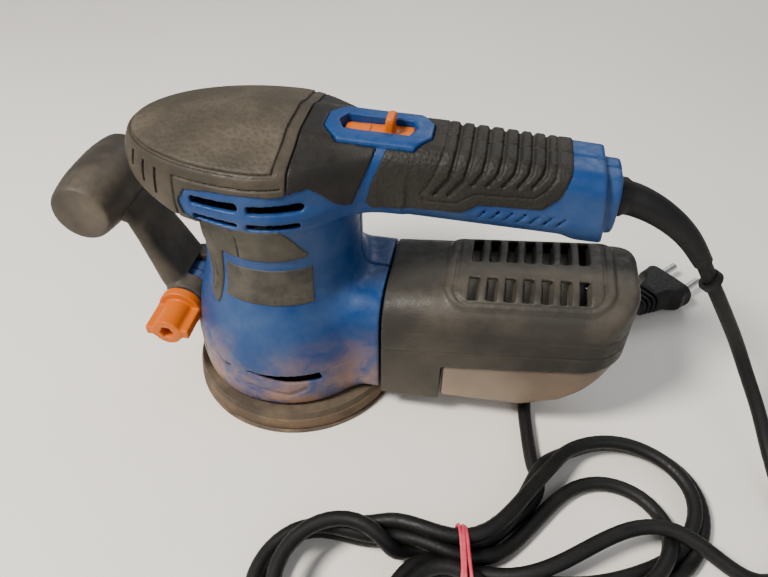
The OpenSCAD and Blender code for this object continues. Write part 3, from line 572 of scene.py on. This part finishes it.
lo, hi = (13.0, -48.0, 134.0), (66.0, 48.0, 171.0)
STEP_SADDLE = 0.8
x, y, z = axes(lo, hi, STEP_SADDLE)
env = upper(x, y, z)
rear = region(x, z, [(41.5, 137.8), (53.4, 168.1), (60.0, 184), (90, 184), (90, 120), (41, 120)])
zone = np.maximum(np.maximum(0.5 - region(x, z, BLUE_SIDE), 15.75 - x), -rear)
octo = region(x, y, OCTO)
zone = np.maximum(zone, 0.3 - np.maximum(octo, 150 - z))
saddle = np.maximum(both(env, zone, 0.4), -env - SHELL)
skin("saddle", saddle, lo, STEP_SADDLE, "housing", ["cap_saddle"], "saddle")

# ---- grips, ribs, bezel and slider ----


# Grooves of the grip, each a bent line as (x, z) from its foot to above its top.
def rib_lines():
    tops = [(89.9, 167), (96.7, 167), (103.4, 167), (110.5, 167), (117.6, 167), (123.6, 167), (130.1, 167)]
    feet = [(79.6, 146.5), (86.2, 146.8), (96.4, 153.4), (103.2, 154.0), (110.2, 154.4), (117.0, 155.0),
            (123.4, 155.4)]
    out = []
    for (tx, tz), (fx, fz) in zip(tops, feet):
        mid = (fx + (tx - fx) * 0.62, fz + (tz - fz) * 0.45)
        out.append([(fx, fz), mid, (tx, tz + 6)])
    return out


STEP_GRIP = 0.7
for side, name in ((-1, "left"), (1, "right")):
    lo = (43.0, -23.0 if side < 0 else -1.0, 130.0)
    hi = (146.0, 1.0 if side < 0 else 23.0, 171.0)
    x, y, z = axes(lo, hi, STEP_GRIP)
    env = upper(x, y, z)
    frame_zone = np.maximum(region(x, y, OCTO), 150 - z)
    zone = np.maximum(region(x, z, GRIP), 0.3 - frame_zone)
    body = np.maximum(both(env, zone, 0.8), -env - 2.6)
    border = np.maximum(np.abs(region(x, z, INNER)) - 0.45, -env - 0.8)
    body = cut(body, border, 0.4)
    for pts in rib_lines():
        groove = line_near(x, z, pts) - 0.85
        body = cut(body, np.maximum(groove, -env - 1.5), 1.2)
    body = np.maximum(body, -side * y)
    skin("grip_skin_" + name, body, lo, STEP_GRIP, "housing", ["grip_" + name], "weave")

lo, hi = (23.0, -18.0, 158.0), (79.0, 18.0, 172.0)
STEP_FRAME = 0.6
x, y, z = axes(lo, hi, STEP_FRAME)
ring = both(upper(x, y, z) - 1.0, region(x, y, OCTO), 1.2)
ring = cut(ring, region(x, y, SLOT), 0.9)
ring = np.maximum(ring, 161.5 - z)
skin("switch_frame", ring, lo, STEP_FRAME, "housing", ["switch_bezel"], "blue")

lo, hi = (31.0, -8.0, 156.0), (68.0, 8.0, 177.0)
STEP_SWITCH = 0.5
x, y, z = axes(lo, hi, STEP_SWITCH)
plate = block(x, y, z, (33.4, -6.2, 160.0), (66.6, 6.2, 165.0), 0.8)
fin = both(slab(x - 55.2 + (z - 166) * -0.1, z - 166.0, 2.2, 8.0, 2.0), np.abs(y) - 4.6, 1.6)
rail = both(slab(x - 41.0, z - 165, 5.0, 1.0, 0.8), np.abs(y) - 3.4, 0.8)
thumb = join(join(plate, fin, 2.4), rail, 0.6)
skin("switch_thumb", thumb, lo, STEP_SWITCH, "switch", ["switch_slider"], "orange")

# ---- rubber front panel and blank plate ----

# Length of one degree of the neck's surface.
PER_DEGREE = 0.78

# Outline of the panel as (degrees, z), and the groove of its hanging tongue as (length, z).
PANEL = [(-181, 108.5), (-140, 108.5), (-137, 100), (-134.5, 80), (-131, 76.6), (-125.5, 75.4),
         (-123.6, 79), (-119, 104), (-117.2, 112.2), (-102.7, 111.8), (-72.0, 112.0), (-56.6, 113.0),
         (-56.0, 115.0), (-60, 118.4), (-71.5, 131.0), (-73.5, 133.5), (-181, 133.5)]
TONGUE = [(-99.8, 106), (-99.6, 84), (-101.5, 81), (-103.5, 84), (-104.5, 106)]

lo, hi = (-50.0, -50.0, 70.0), (36.0, 50.0, 134.0)
STEP_PANEL = 0.8
x, y, z = axes(lo, hi, STEP_PANEL)
rho, az = around(x, y)
core = bell(x, y, z)
arc_u = -np.abs(az)
zone = region(arc_u * PER_DEGREE, z, [(a * PER_DEGREE, b) for a, b in PANEL])
panel = both(core - 0.9, zone, 0.9)
panel = np.maximum(panel, -core - 1.6)
line = np.maximum(np.abs(arc_u + 103) * PER_DEGREE - 0.3, 110 - z)
tongue = line_near(arc_u * PER_DEGREE, z, TONGUE)
panel = cut(panel, np.maximum(np.minimum(line, tongue - 0.4), -core - 0.1), 0.4)
panel = np.maximum(panel, z - 133)
skin("neck_panel", panel, lo, STEP_PANEL, "housing", ["front_panel"], "panel")

lo, hi = (-36.0, -52.0, 80.0), (30.0, -20.0, 109.0)
STEP_PLATE = 0.7
x, y, z = axes(lo, hi, STEP_PLATE)
rho, az = around(x, y)
core = bell(x, y, z)
zone = region(az * PER_DEGREE, z, [(-92.0, 84.2), (-43.4, 84.2), (-42.0, 105.6), (-90.2, 105.6)]) - 0.4
plate = both(np.maximum(core - 0.5, -core - 1.2), zone, 0.5)
skin("blank_plate", plate, lo, STEP_PLATE, "housing", ["name_plate"], "plate")

# ---- sanding pad ----

DISC_HOLES = 8
HOLE_CIRCLE = 32.5
HOLE_R = 5.0
CENTRE_R = 9

# Radius of the foam's edge over its height, as (z, radius).
FOAM_EDGE = [(0, 62.5), (1.6, 62.5), (1.9, 61.3), (5.5, 61.9), (9.5, 61.6), (10.4, 61.0), (10.8, 61.4),
             (14.2, 60.2)]

lo, hi = (-65.0, -65.0, -0.5), (65.0, 65.0, 15.5)
STEP_FOAM = grid_step(0.8)
x, y, z = axes(lo, hi, STEP_FOAM)
rho = np.hypot(x, y)
edge = np.interp(z, *zip(*FOAM_EDGE))
holes = np.full(rho.shape, FAR_OFF, np.float32)
for i in range(DISC_HOLES):
    a = 2 * math.pi * i / DISC_HOLES
    hole = np.hypot(x - HOLE_CIRCLE * math.cos(a), y - HOLE_CIRCLE * math.sin(a)) - HOLE_R
    holes = np.minimum(holes, hole)
holes = np.minimum(holes, rho - CENTRE_R)
disc = np.maximum(rho - edge, -holes)
foam = np.maximum(disc, np.maximum(1.7 - z, z - 10.6))
skin("foam_ring", foam, lo, STEP_FOAM, "pad", ["pad_foam"], "foam")

# ---- dust box ----

BOX_FRONT, BOX_REAR = 57.3, 186
BOX_HALF = 35
BOX_CORNER = 24

# The roof rises to the rear and is flat over y = +-FLAT, with sides of radius ARCH beyond.
TILT = math.tan(math.radians(5.9))
FLAT = 17
ARCH = 18


def top_of(x, y):
    fall = ARCH - np.sqrt(np.maximum(ARCH ** 2 - np.maximum(0, np.abs(y) - FLAT) ** 2, 0))
    return 84.2 + (x - 57) * TILT - fall - (y / FLAT) ** 2 * 0.5


# The box seen from above, drawn in by t.
def plan(x, y, t):
    cx, cy = BOX_REAR - BOX_CORNER, BOX_HALF - BOX_CORNER
    straight = np.maximum(np.abs(y) - BOX_HALF + t, x - BOX_REAR + t)
    corner = np.hypot(np.maximum(x - cx, 0), np.maximum(np.abs(y) - cy, 0)) - BOX_CORNER + t
    return np.where((x > cx) & (np.abs(y) > cy), corner, straight)


# Height of the line where the cover ends and the bin begins, behind the collar.
COLLAR_END = 91


def lid_line(x):
    return 44 + (x - COLLAR_END) * 0.14


# Louvres of the cover: centre line of the first, pitch, and the two rows as (y from, y to).
LOUVRES = 7
LOUVRE_X, LOUVRE_PITCH = 103.0, 9.2
LOUVRE_ROWS = ((-24.8, -9.6), (2.6, 23.2))

PANEL_X = 130.5
SPIGOT_R, SPIGOT_BORE = 17, 15

lo, hi = (44.0, -38.0, 14.0), (195.0, 38.0, 102.0)
STEP_BOX = grid_step(0.8)
x, y, z = axes(lo, hi, STEP_BOX)
raised = 1.7 * np.clip(-slab(x - PANEL_X, y, 43.5, 29.0, 13) / 1.6, 0, 1)
outer = both(plan(x, y, 0.0), (z - top_of(x, y)) * 0.95 - raised, 5.0)
outer = both(outer, BOX_FRONT - x, 1.2)
low_edge = np.where(x < COLLAR_END, 15.6 + (x - 57) * 0.04, lid_line(x))
shell = both(outer, low_edge - z, 0.8)
band = np.maximum(np.abs(z - (66.5 + (x - 57) * TILT * 0.75)) - 0.35, -outer - 0.6)
shell = cut(shell, band, 0.4)
band = np.maximum(np.abs(z - (52.0 + (x - 57) * 0.12)) - 0.4, -outer - 0.6)
shell = cut(shell, band, 0.4)
shell = cut(shell, np.maximum(outer + 2.2, np.where(x < COLLAR_END, 18.0 - z, -1)), 0.3)
frame_line = np.abs(slab(x - PANEL_X, y, 37.5, 26.6, 8)) - 0.6
shell = cut(shell, np.maximum(frame_line, -outer - 0.8), 0.8)
for i in range(LOUVRES):
    for ya, yb in LOUVRE_ROWS:
        louvre = slab(x - (LOUVRE_X + LOUVRE_PITCH * i), y - (ya + yb) / 2, 2.6, (yb - ya) / 2, 0.6)
        shell = cut(shell, np.maximum(louvre, 70 - z), 0.5)
spout = np.hypot(y, z - OUTLET_Z)
pipe = np.maximum(np.maximum(spout - SPIGOT_R, SPIGOT_BORE - spout), np.maximum(45.5 - x, x - 60))
shell = np.minimum(cut(shell, np.maximum(spout - SPIGOT_BORE, x - 61), 0.3), pipe)
skin("box_lid", shell, lo, STEP_BOX, "dust_box", ["box_cover"], "box")

# A rounded vane stands in each louvre.
lo, hi = (98.0, -26.0, 74.0), (168.0, 26.0, 100.0)
STEP_VANE = 0.7
x, y, z = axes(lo, hi, STEP_VANE)
rel = z - (top_of(x, y) + 0.4)
vanes = np.full(np.broadcast(x, y, z).shape, FAR_OFF, np.float32)
for i in range(LOUVRES):
    for ya, yb in LOUVRE_ROWS:
        from_lip = x - (LOUVRE_X + 1.3 + LOUVRE_PITCH * i)
        curve = np.hypot(from_lip - 3.2, rel + 3.2) - 3.0
        beside = np.abs(y - (ya + yb) / 2) - (yb - ya) / 2 - 0.4
        blade = np.maximum(np.maximum(curve, -from_lip - 1.0), beside)
        vanes = np.minimum(vanes, np.maximum(blade, -rel - 6))
skin("box_vanes", vanes, lo, STEP_VANE, "dust_box", [], "box")


def bin_low(x):
    return np.interp(x, [88, 92, 137, 156, 168, 180, 186], [17.2, 17.2, 19, 27, 38, 51, 58])


lo, hi = (90.0, -36.0, 14.0), (192.0, 36.0, 86.0)
x, y, z = axes(lo, hi, STEP_BOX)
outer = both(both(plan(x, y, 1.2), bin_low(x) - z, 5.0), 91.6 - x, 1.5)
outer = np.maximum(outer, z - lid_line(x) + 0.5)
cup = np.maximum(both(plan(x, y, 2.9), bin_low(x) + 1.7 - z, 4.0), 93.3 - x)
skin("bin_shell", cut(outer, cup, 0.4), lo, STEP_BOX, "bin", ["dust_bin"], "smoke")

# ---- front handle and knob ----

# The arm seen from the side, as (x, z).
ARM_SIDE = [(-71.8, 55.0), (-75.2, 64.0), (-79.0, 78.0), (-82.5, 90.0), (-86.6, 101.5), (-99, 104.5),
            (-92, 119.5), (-77.0, 101.0), (-72.0, 88.0), (-66.8, 78.0), (-60.6, 65.5), (-60, 60)]

lo, hi = (-100.0, -22.0, 38.0), (-46.0, 22.0, 124.0)
STEP_ARM = 0.8
x, y, z = axes(lo, hi, STEP_ARM)
from_bolt = np.hypot(x - PIVOT[0], z - PIVOT[1])
half = np.interp(z, [60, 80, 100, 120], [17.6, 17.0, 16.0, 15.0])
web = both(region(x, z, ARM_SIDE), np.abs(y) - half, 5.0)
hub = both(from_bolt - 11.6, np.abs(y) - 20, 2.0)
arm = join(web, hub, 2.0)
arm = cut(arm, np.maximum(np.abs(y) - 8.5, from_bolt - 11.9), 0.8)
arm = cut(arm, from_bolt - BOLT_HOLE, 0.3)
arm = np.maximum(arm, 12.6 - np.hypot(x - BAR[0], z - BAR[1]))
skin("arm_skin", arm, lo, STEP_ARM, "front_handle", ["aux_arm"], "arm")

lo, hi = (-126.0, -36.0, 92.0), (-80.0, 36.0, 138.0)
STEP_BAR = 0.9
x, y, z = axes(lo, hi, STEP_BAR)
reach = np.hypot(x - BAR[0], z - BAR[1])
fat = np.interp(np.abs(y), [0, 9, 15, 21, 25, 28], [18.4, 18.3, 17.9, 17.1, 16.4, 15.7])
grip = both(reach - fat, np.abs(y) - 28.3, 1.8)
dimple = np.maximum(0, 1 - (reach / 9.0) ** 2)
grip = grip + 0.5 * dimple * (np.abs(y) > 25)
skin("bar_skin", grip, lo, STEP_BAR, "front_handle", ["aux_grip"], "arm")

lo, hi = (-75.0, -48.0, 40.0), (-46.0, -20.0, 68.0)
STEP_KNOB = 0.5
x, y, z = axes(lo, hi, STEP_KNOB)
u, v = x - PIVOT[0], z - PIVOT[1]
reach = np.hypot(u, v)
barrel = both(reach - 8.2, np.maximum(-46 - y, y + 22.4), 0.8)
wings = both(slab(u, v, 12.4, 2.9, 0.9), np.maximum(-45.8 - y, y + 25), 0.7)
flange = both(reach - 12.4, np.maximum(-27.6 - y, y + 22.1), 0.8)
knob = join(join(barrel, wings, 1.4), flange, 0.9)
hexa = np.maximum(np.abs(v), np.maximum(np.abs(0.866 * u + 0.5 * v), np.abs(0.866 * u - 0.5 * v))) - 3.5
knob = cut(knob, np.maximum(hexa, y + 38), 0.4)
knob = cut(knob, np.maximum(reach - BOLT_HOLE, -37 - y), 0.3)
skin("knob_skin", knob, lo, STEP_KNOB, "knob", ["aux_knob"], "orange")

# ---- mains lead ----

CURVE_PARTS = 24


# A smooth curve through the points, cut into equal lengths.
def catmull(points, spacing):
    p = np.array(points, float)
    p = np.vstack([2 * p[0] - p[1], p, 2 * p[-1] - p[-2]])
    out = []
    for i in range(1, len(p) - 2):
        a, b, c, d = p[i - 1], p[i], p[i + 1], p[i + 2]
        for t in np.linspace(0, 1, CURVE_PARTS, endpoint=False):
            out.append(0.5 * (2 * b + (c - a) * t + (2 * a - 5 * b + 4 * c - d) * t ** 2
                              + (3 * b - a - 3 * c + d) * t ** 3))
    out.append(p[-2])
    out = np.array(out)
    run = np.concatenate([[0], np.cumsum(np.linalg.norm(np.diff(out, axis=0), axis=1))])
    at = np.linspace(0, run[-1], int(run[-1] / spacing) + 1)
    return np.stack([np.interp(at, run, out[:, k]) for k in range(3)], 1)


CORD_R = 3.75

# Where the elastic band holds the turns together, as (x, y).
WAIST = np.array([114.0, -124.0])

# From the guard down to the waist, and from the turns under the dust box to the plug.
NEAR = [(212, -1.6, 110.6), (220, -2, 98.4), (232, -2, 80), (244, -3, 61), (254, -9, 44), (263, -21, 29),
        (270, -37, 15), (275, -56, 6), (276, -76, 4), (270, -96, 6), (258, -107, 9), (243, -108, 13),
        (226, -99, 18), (203, -94, 20), (180, -105, 19), (158, -120, 17), (136, -130, 14), (114, -132, 11)]
FAR = [(150, -74, 4), (146, -58, 4), (143, -40, 4), (141, -22, 4), (142, -4, 4), (146, 14, 4),
       (154, 31, 4), (167, 44, 4), (182, 52, 5), (197, 60, 8), (205, 66, 9.6)]


# Round end of a turn, in front of the tool.
def left_lobe(cx, cy, r, h):
    out = []
    for a in (300, 265, 230, 195, 160, 125, 90, 65):
        out.append((cx + r * math.cos(math.radians(a)), cy + r * math.sin(math.radians(a)), h))
    return out


# Each turn: its round end, its way back through the waist, its long end and its way out again.
TURNS = [
    (left_lobe(50, -150, 33, 5), (114, -117, 12),
     [(130, -106, 13), (143, -84, 12), (158, -56, 8), (190, -39, 5), (222, -48, 5), (234, -72, 5),
      (224, -100, 5), (200, -120, 5), (168, -131, 5), (138, -134, 5)], (114, -132, 4)),
    (left_lobe(57, -147, 32, 12), (114, -117, 20),
     [(131, -104, 20), (146, -81, 19), (163, -54, 13), (192, -42, 12), (218, -52, 12), (229, -72, 11),
      (219, -97, 11), (196, -115, 10), (166, -126, 9), (138, -128, 8)], (114, -125, 4)),
    (left_lobe(52, -153, 32, 19), (114, -124, 12),
     [(134, -112, 6), (152, -90, 4), (170, -70, 4), (192, -66, 4), (212, -80, 4), (214, -102, 12),
      (198, -122, 13), (170, -137, 12), (140, -139, 8)], (114, -132, 18)),
    (left_lobe(60, -150, 30, 25), (114, -117, 4), [(129, -104, 4), (141, -90, 4)], None),
]


def lead_route():
    pts = list(NEAR)
    for lobe, way_back, long_end, way_out in TURNS:
        pts.append((92, -138, way_out[2] if way_out else 18))
        pts += lobe
        pts.append((90, -116, way_back[2]))
        pts.append(way_back)
        pts += long_end
        if way_out:
            pts.append(way_out)
    return pts + FAR


SPACING = 4.5
ROUNDS = 500
HELD_SHARE = 0.07
STRAND_GAP = 2 * CORD_R + 0.15
APART_ALONG = 18
LINK_PULL, STRAIGHTEN, PUSH, RETURN = 0.45, 0.35, 0.3, 0.004
WAIST_HALF, WAIST_TOP, WAIST_PULL = 10, 22, 0.4
CLEAR_OF_WAIST = 60


def along_waist(p):
    return np.abs((p[:, 0] - WAIST[0]) * 0.98 + (p[:, 1] - WAIST[1]) * 0.2)


# Lets the lead come to rest: its links keep their length, it bends smoothly, its strands don't
# pass through each other or the floor, and the band draws them together at the waist. The parts
# near the guard and the plug are held.
def settle(p):
    p = p.copy()
    n = len(p)
    first = p.copy()
    rest = np.linalg.norm(np.diff(p, axis=0), axis=1).mean()
    held = np.zeros(n, bool)
    held[: int(HELD_SHARE * n)] = True
    held[-int(HELD_SHARE * n):] = True
    i, j = np.triu_indices(n, int(APART_ALONG / rest))
    for _ in range(ROUNDS):
        keep = p[held].copy()
        step = p[1:] - p[:-1]
        long = np.linalg.norm(step, axis=1, keepdims=True)
        fix = step * (1 - rest / long) * LINK_PULL
        p[:-1] += fix
        p[1:] -= fix
        bend = np.zeros_like(p)
        bend[2:-2] = (4 * (p[1:-3] + p[3:-1]) - (p[:-4] + p[4:])) / 6 - p[2:-2]
        p += bend * STRAIGHTEN
        gap = p[i] - p[j]
        near = np.einsum("ij,ij->i", gap, gap) < STRAND_GAP ** 2
        a, b, g = i[near], j[near], gap[near]
        size = np.maximum(np.linalg.norm(g, axis=1, keepdims=True), 0.05)
        push = g / size * (STRAND_GAP - size) * PUSH
        np.add.at(p, a, push)
        np.add.at(p, b, -push)
        p[:, 2] = np.maximum(p[:, 2] - 0.01, CORD_R + 0.05)
        p += (first - p) * RETURN
        tie = along_waist(p) < 5
        tie &= p[:, 2] < CLEAR_OF_WAIST
        off = p[:, 1] - WAIST[1] + (p[:, 0] - WAIST[0]) * 0.2
        out = (off - np.sign(off) * WAIST_HALF) * WAIST_PULL
        p[:, 1] -= np.where(tie & (np.abs(off) > WAIST_HALF), out, 0)
        p[:, 2] -= np.where(tie & (p[:, 2] > WAIST_TOP), (p[:, 2] - WAIST_TOP) * WAIST_PULL, 0)
        p[held] = keep
    return p


route = catmull(lead_route(), SPACING)
route = settle(route)
curve = bpy.data.curves.new("mains_lead", "CURVE")
curve.dimensions = "3D"
curve.bevel_depth = CORD_R * MM
curve.bevel_resolution = 5
curve.use_fill_caps = True
line = curve.splines.new("POLY")
line.points.add(len(route) - 1)
line.points.foreach_set("co", np.hstack([route * MM, np.ones((len(route), 1))]).ravel())
lead = bpy.data.objects.new("mains_lead", curve)
bpy.context.scene.collection.objects.link(lead)
curve.materials.append(mats["rubber"])
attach(lead, "housing")
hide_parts("mains_cord_near", "mains_cord_far", "cord_hank")


# The tapering guard of the lead: rings of the given radii along a path.
RING_POINTS = 28


def guard_skin(name, pts, radii):
    p = np.array(pts, float)
    verts, faces = [], []
    n = len(p)
    for k in range(n):
        t = p[min(n - 1, k + 1)] - p[max(0, k - 1)]
        t = t / np.linalg.norm(t)
        u = np.cross(t, (0.05, 0.03, 1))
        u = u / np.linalg.norm(u)
        v = np.cross(t, u)
        for s in range(RING_POINTS):
            a = 2 * math.pi * s / RING_POINTS
            verts.append(tuple((p[k] + radii[k] * (math.cos(a) * u + math.sin(a) * v)) * MM))
    for k in range(n - 1):
        for s in range(RING_POINTS):
            e = (s + 1) % RING_POINTS
            this, following = k * RING_POINTS, (k + 1) * RING_POINTS
            faces.append((this + s, this + e, following + e, following + s))
    faces.append(tuple(range(RING_POINTS - 1, -1, -1)))
    faces.append(tuple((n - 1) * RING_POINTS + s for s in range(RING_POINTS)))
    mesh = bpy.data.meshes.new(name)
    mesh.from_pydata(verts, [], faces)
    mesh.update()
    mesh.shade_smooth()
    mesh.set_sharp_from_angle(angle=math.radians(45))
    obj = bpy.data.objects.new(name, mesh)
    bpy.context.scene.collection.objects.link(obj)
    obj.data.materials.append(mats["rubber"])
    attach(obj, "housing")
    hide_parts("cord_guard")


GUARD = [(160, 0, 142.6), (166.5, 0, 142.4), (174, 0, 140.8), (184, -0.4, 136.6), (194, -0.8, 130.2),
         (203, -1.2, 122), (212, -1.6, 110.6)]
guard_path = catmull(GUARD, 2.0)
last = len(guard_path) - 1
flare = []
for k, point in enumerate(guard_path):
    r = 8.6 - 3.9 * (k / last)
    if point[0] < 163.5:
        r = 6.0
    elif point[0] < 168.0:
        r = 9.4
    flare.append(r)
guard_skin("lead_guard", guard_path, flare)

# The elastic band: rounded wraps about the strands at the waist, each a little askew.
WRAPS = 4
WRAP_POINTS = 40
SQUARENESS = 0.62
BAND_R = 0.85


def rounded(t):
    return np.sign(t) * abs(t) ** SQUARENESS


tied = route[along_waist(route) < 4]
tied = tied[(tied[:, 2] < CLEAR_OF_WAIST) & (np.abs(tied[:, 1] - WAIST[1]) < 25)]
near_side = tied[:, 1].min() - CORD_R - 1
far_side = tied[:, 1].max() + CORD_R + 1
tall = max(tied[:, 2].max() + CORD_R + 1.0, 12)


def wrap(w):
    loop = []
    for s in range(WRAP_POINTS):
        a = 2 * math.pi * s / WRAP_POINTS
        grow = 1 + 0.02 * math.sin(3 * a + w)
        sy = (near_side + far_side) / 2 + (far_side - near_side) / 2 * grow * rounded(math.cos(a))
        sz = tall / 2 + (tall / 2 - 0.4) * rounded(math.sin(a))
        sx = WAIST[0] - 2.6 + 1.7 * w + 1.1 * math.sin(a + w * 1.3) - (sy - WAIST[1]) * 0.16
        loop.append((sx * MM, sy * MM, max(sz, 0.9) * MM, 1))
    return loop


band_curve = bpy.data.curves.new("elastic_band", "CURVE")
band_curve.dimensions = "3D"
band_curve.bevel_depth = BAND_R * MM
band_curve.bevel_resolution = 3
for w in range(WRAPS):
    ring_line = band_curve.splines.new("POLY")
    ring_line.points.add(WRAP_POINTS - 1)
    for q, at in zip(ring_line.points, wrap(w)):
        q.co = at
    ring_line.use_cyclic_u = True
band = bpy.data.objects.new("elastic_band", band_curve)
bpy.context.scene.collection.objects.link(band)
band_curve.materials.append(mats["band"])
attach(band, "housing")
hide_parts("cord_band")

# The plug, drawn along its own axis and then laid on the floor behind the dust box.
PLUG_AT, PLUG_TURN = (211, 72, 9.6), 46.6

lo, hi = (-14.0, -22.0, -11.0), (42.0, 22.0, 11.0)
STEP_PLUG = 0.7
x, y, z = axes(lo, hi, STEP_PLUG)
half = np.interp(x, [0, 6, 14, 20, 25, 30, 36], [6.5, 8, 10, 12, 17.5, 18.5, 18.5])
thick = np.interp(x, [0, 6, 14, 20, 30, 36], [6.2, 7, 8.6, 9.0, 9.0, 9.0])
core = both(slab(y / half * 18, z / thick * 9, 18, 9, 8.0) * 0.8, np.maximum(-x, x - 36), 2.0)
rho = np.hypot(y, z)
body = join(core, both(rho - 5.4, np.maximum(-8 - x, x - 6), 1.0), 2.0)
for k in range(3):
    body = cut(body, np.maximum(np.abs(x - 3 - 3.6 * k) - 0.7, 5.6 - rho), 0.6)
for s in (-1, 1):
    body = cut(body, np.maximum(np.hypot(y - s * 9.5, z) - 2.45, 27 - x), 0.3)
    body = cut(body, np.hypot(x - 30, y - s * 21.5) - 5.0, 1.5)
plug = skin("plug_shell", body, lo, STEP_PLUG, "housing", ["plug_body"], "rubber")
place = Matrix.Translation([v * MM for v in PLUG_AT])
plug.data.transform(place @ Matrix.Rotation(math.radians(PLUG_TURN), 4, "Z"))

# ---- materials of the carried-over parts ----

LOOKS = {
    "plain": ["dust_fan", "cooling_fan", "brush_holders", "switch_block", "cord_clamp", "duct_sleeve",
              "filter_frame", "bearing_plate"],
    "backing": ["pad_plate"],
    "rubber": ["brake_ring", "duct_seal", "inner_lead", "cord_ring"],
    "hook": ["pad_hook_disc"],
    "steel": ["pad_spindle", "pad_screw", "pad_bearing", "motor_shaft", "lower_bearing",
              "upper_bearing", "brush_springs", "housing_screws", "aux_bolt", "aux_washer", "plug_pins"],
    "cast": ["eccentric_hub", "counterweight"],
    "laminate": ["armature_core", "stator_core"],
    "copper": ["armature_coils", "commutator", "stator_coils"],
    "carbon": ["brushes"],
    "amber": ["capacitor"],
    "paper": ["dust_filter"],
}
for mat, names in LOOKS.items():
    for n in names:
        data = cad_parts[n].data
        data.materials.clear()
        data.materials.append(mats[mat])

# ---- floor and light ----

bpy.ops.mesh.primitive_plane_add(size=8, location=(0, 0, -0.0003))
ground = bpy.context.object
ground.name = "ground"
mat, tree, shader, where = material("ground")
tones = [(0.3, (0.77, 0.735, 0.68)), (0.7, (0.83, 0.795, 0.735))]
tree.links.new(ramp(tree, noise(tree, where, 3.0, 3.0), tones), shader.inputs["Base Color"])
shader.inputs["Roughness"].default_value = 0.55
ground.data.materials.append(mat)

world = bpy.data.worlds.new("world")
bpy.context.scene.world = world
world.use_nodes = True
sky = world.node_tree.nodes["Background"]
sky.inputs["Color"].default_value = (0.93, 0.95, 1.0, 1)
sky.inputs["Strength"].default_value = 0.36


def lamp(name, where, at, size, power, colour):
    data = bpy.data.lights.new(name, "AREA")
    data.shape = "DISK"
    data.size = size
    data.energy = power
    data.color = colour
    obj = bpy.data.objects.new(name, data)
    obj.location = where
    aim = Vector(at) - Vector(where)
    obj.rotation_euler = aim.to_track_quat("-Z", "Y").to_euler()
    bpy.context.scene.collection.objects.link(obj)


lamp("key", (-0.48, -0.46, 1.02), (0.06, -0.02, 0.05), 0.30, 25, (1.0, 0.95, 0.88))
lamp("fill", (0.9, -1.1, 1.2), (0.06, 0, 0.05), 1.2, 6, (0.92, 0.95, 1.0))
lamp("rim", (0.3, 1.2, 1.1), (0.06, 0, 0.08), 0.9, 6, (1.0, 1.0, 1.0))
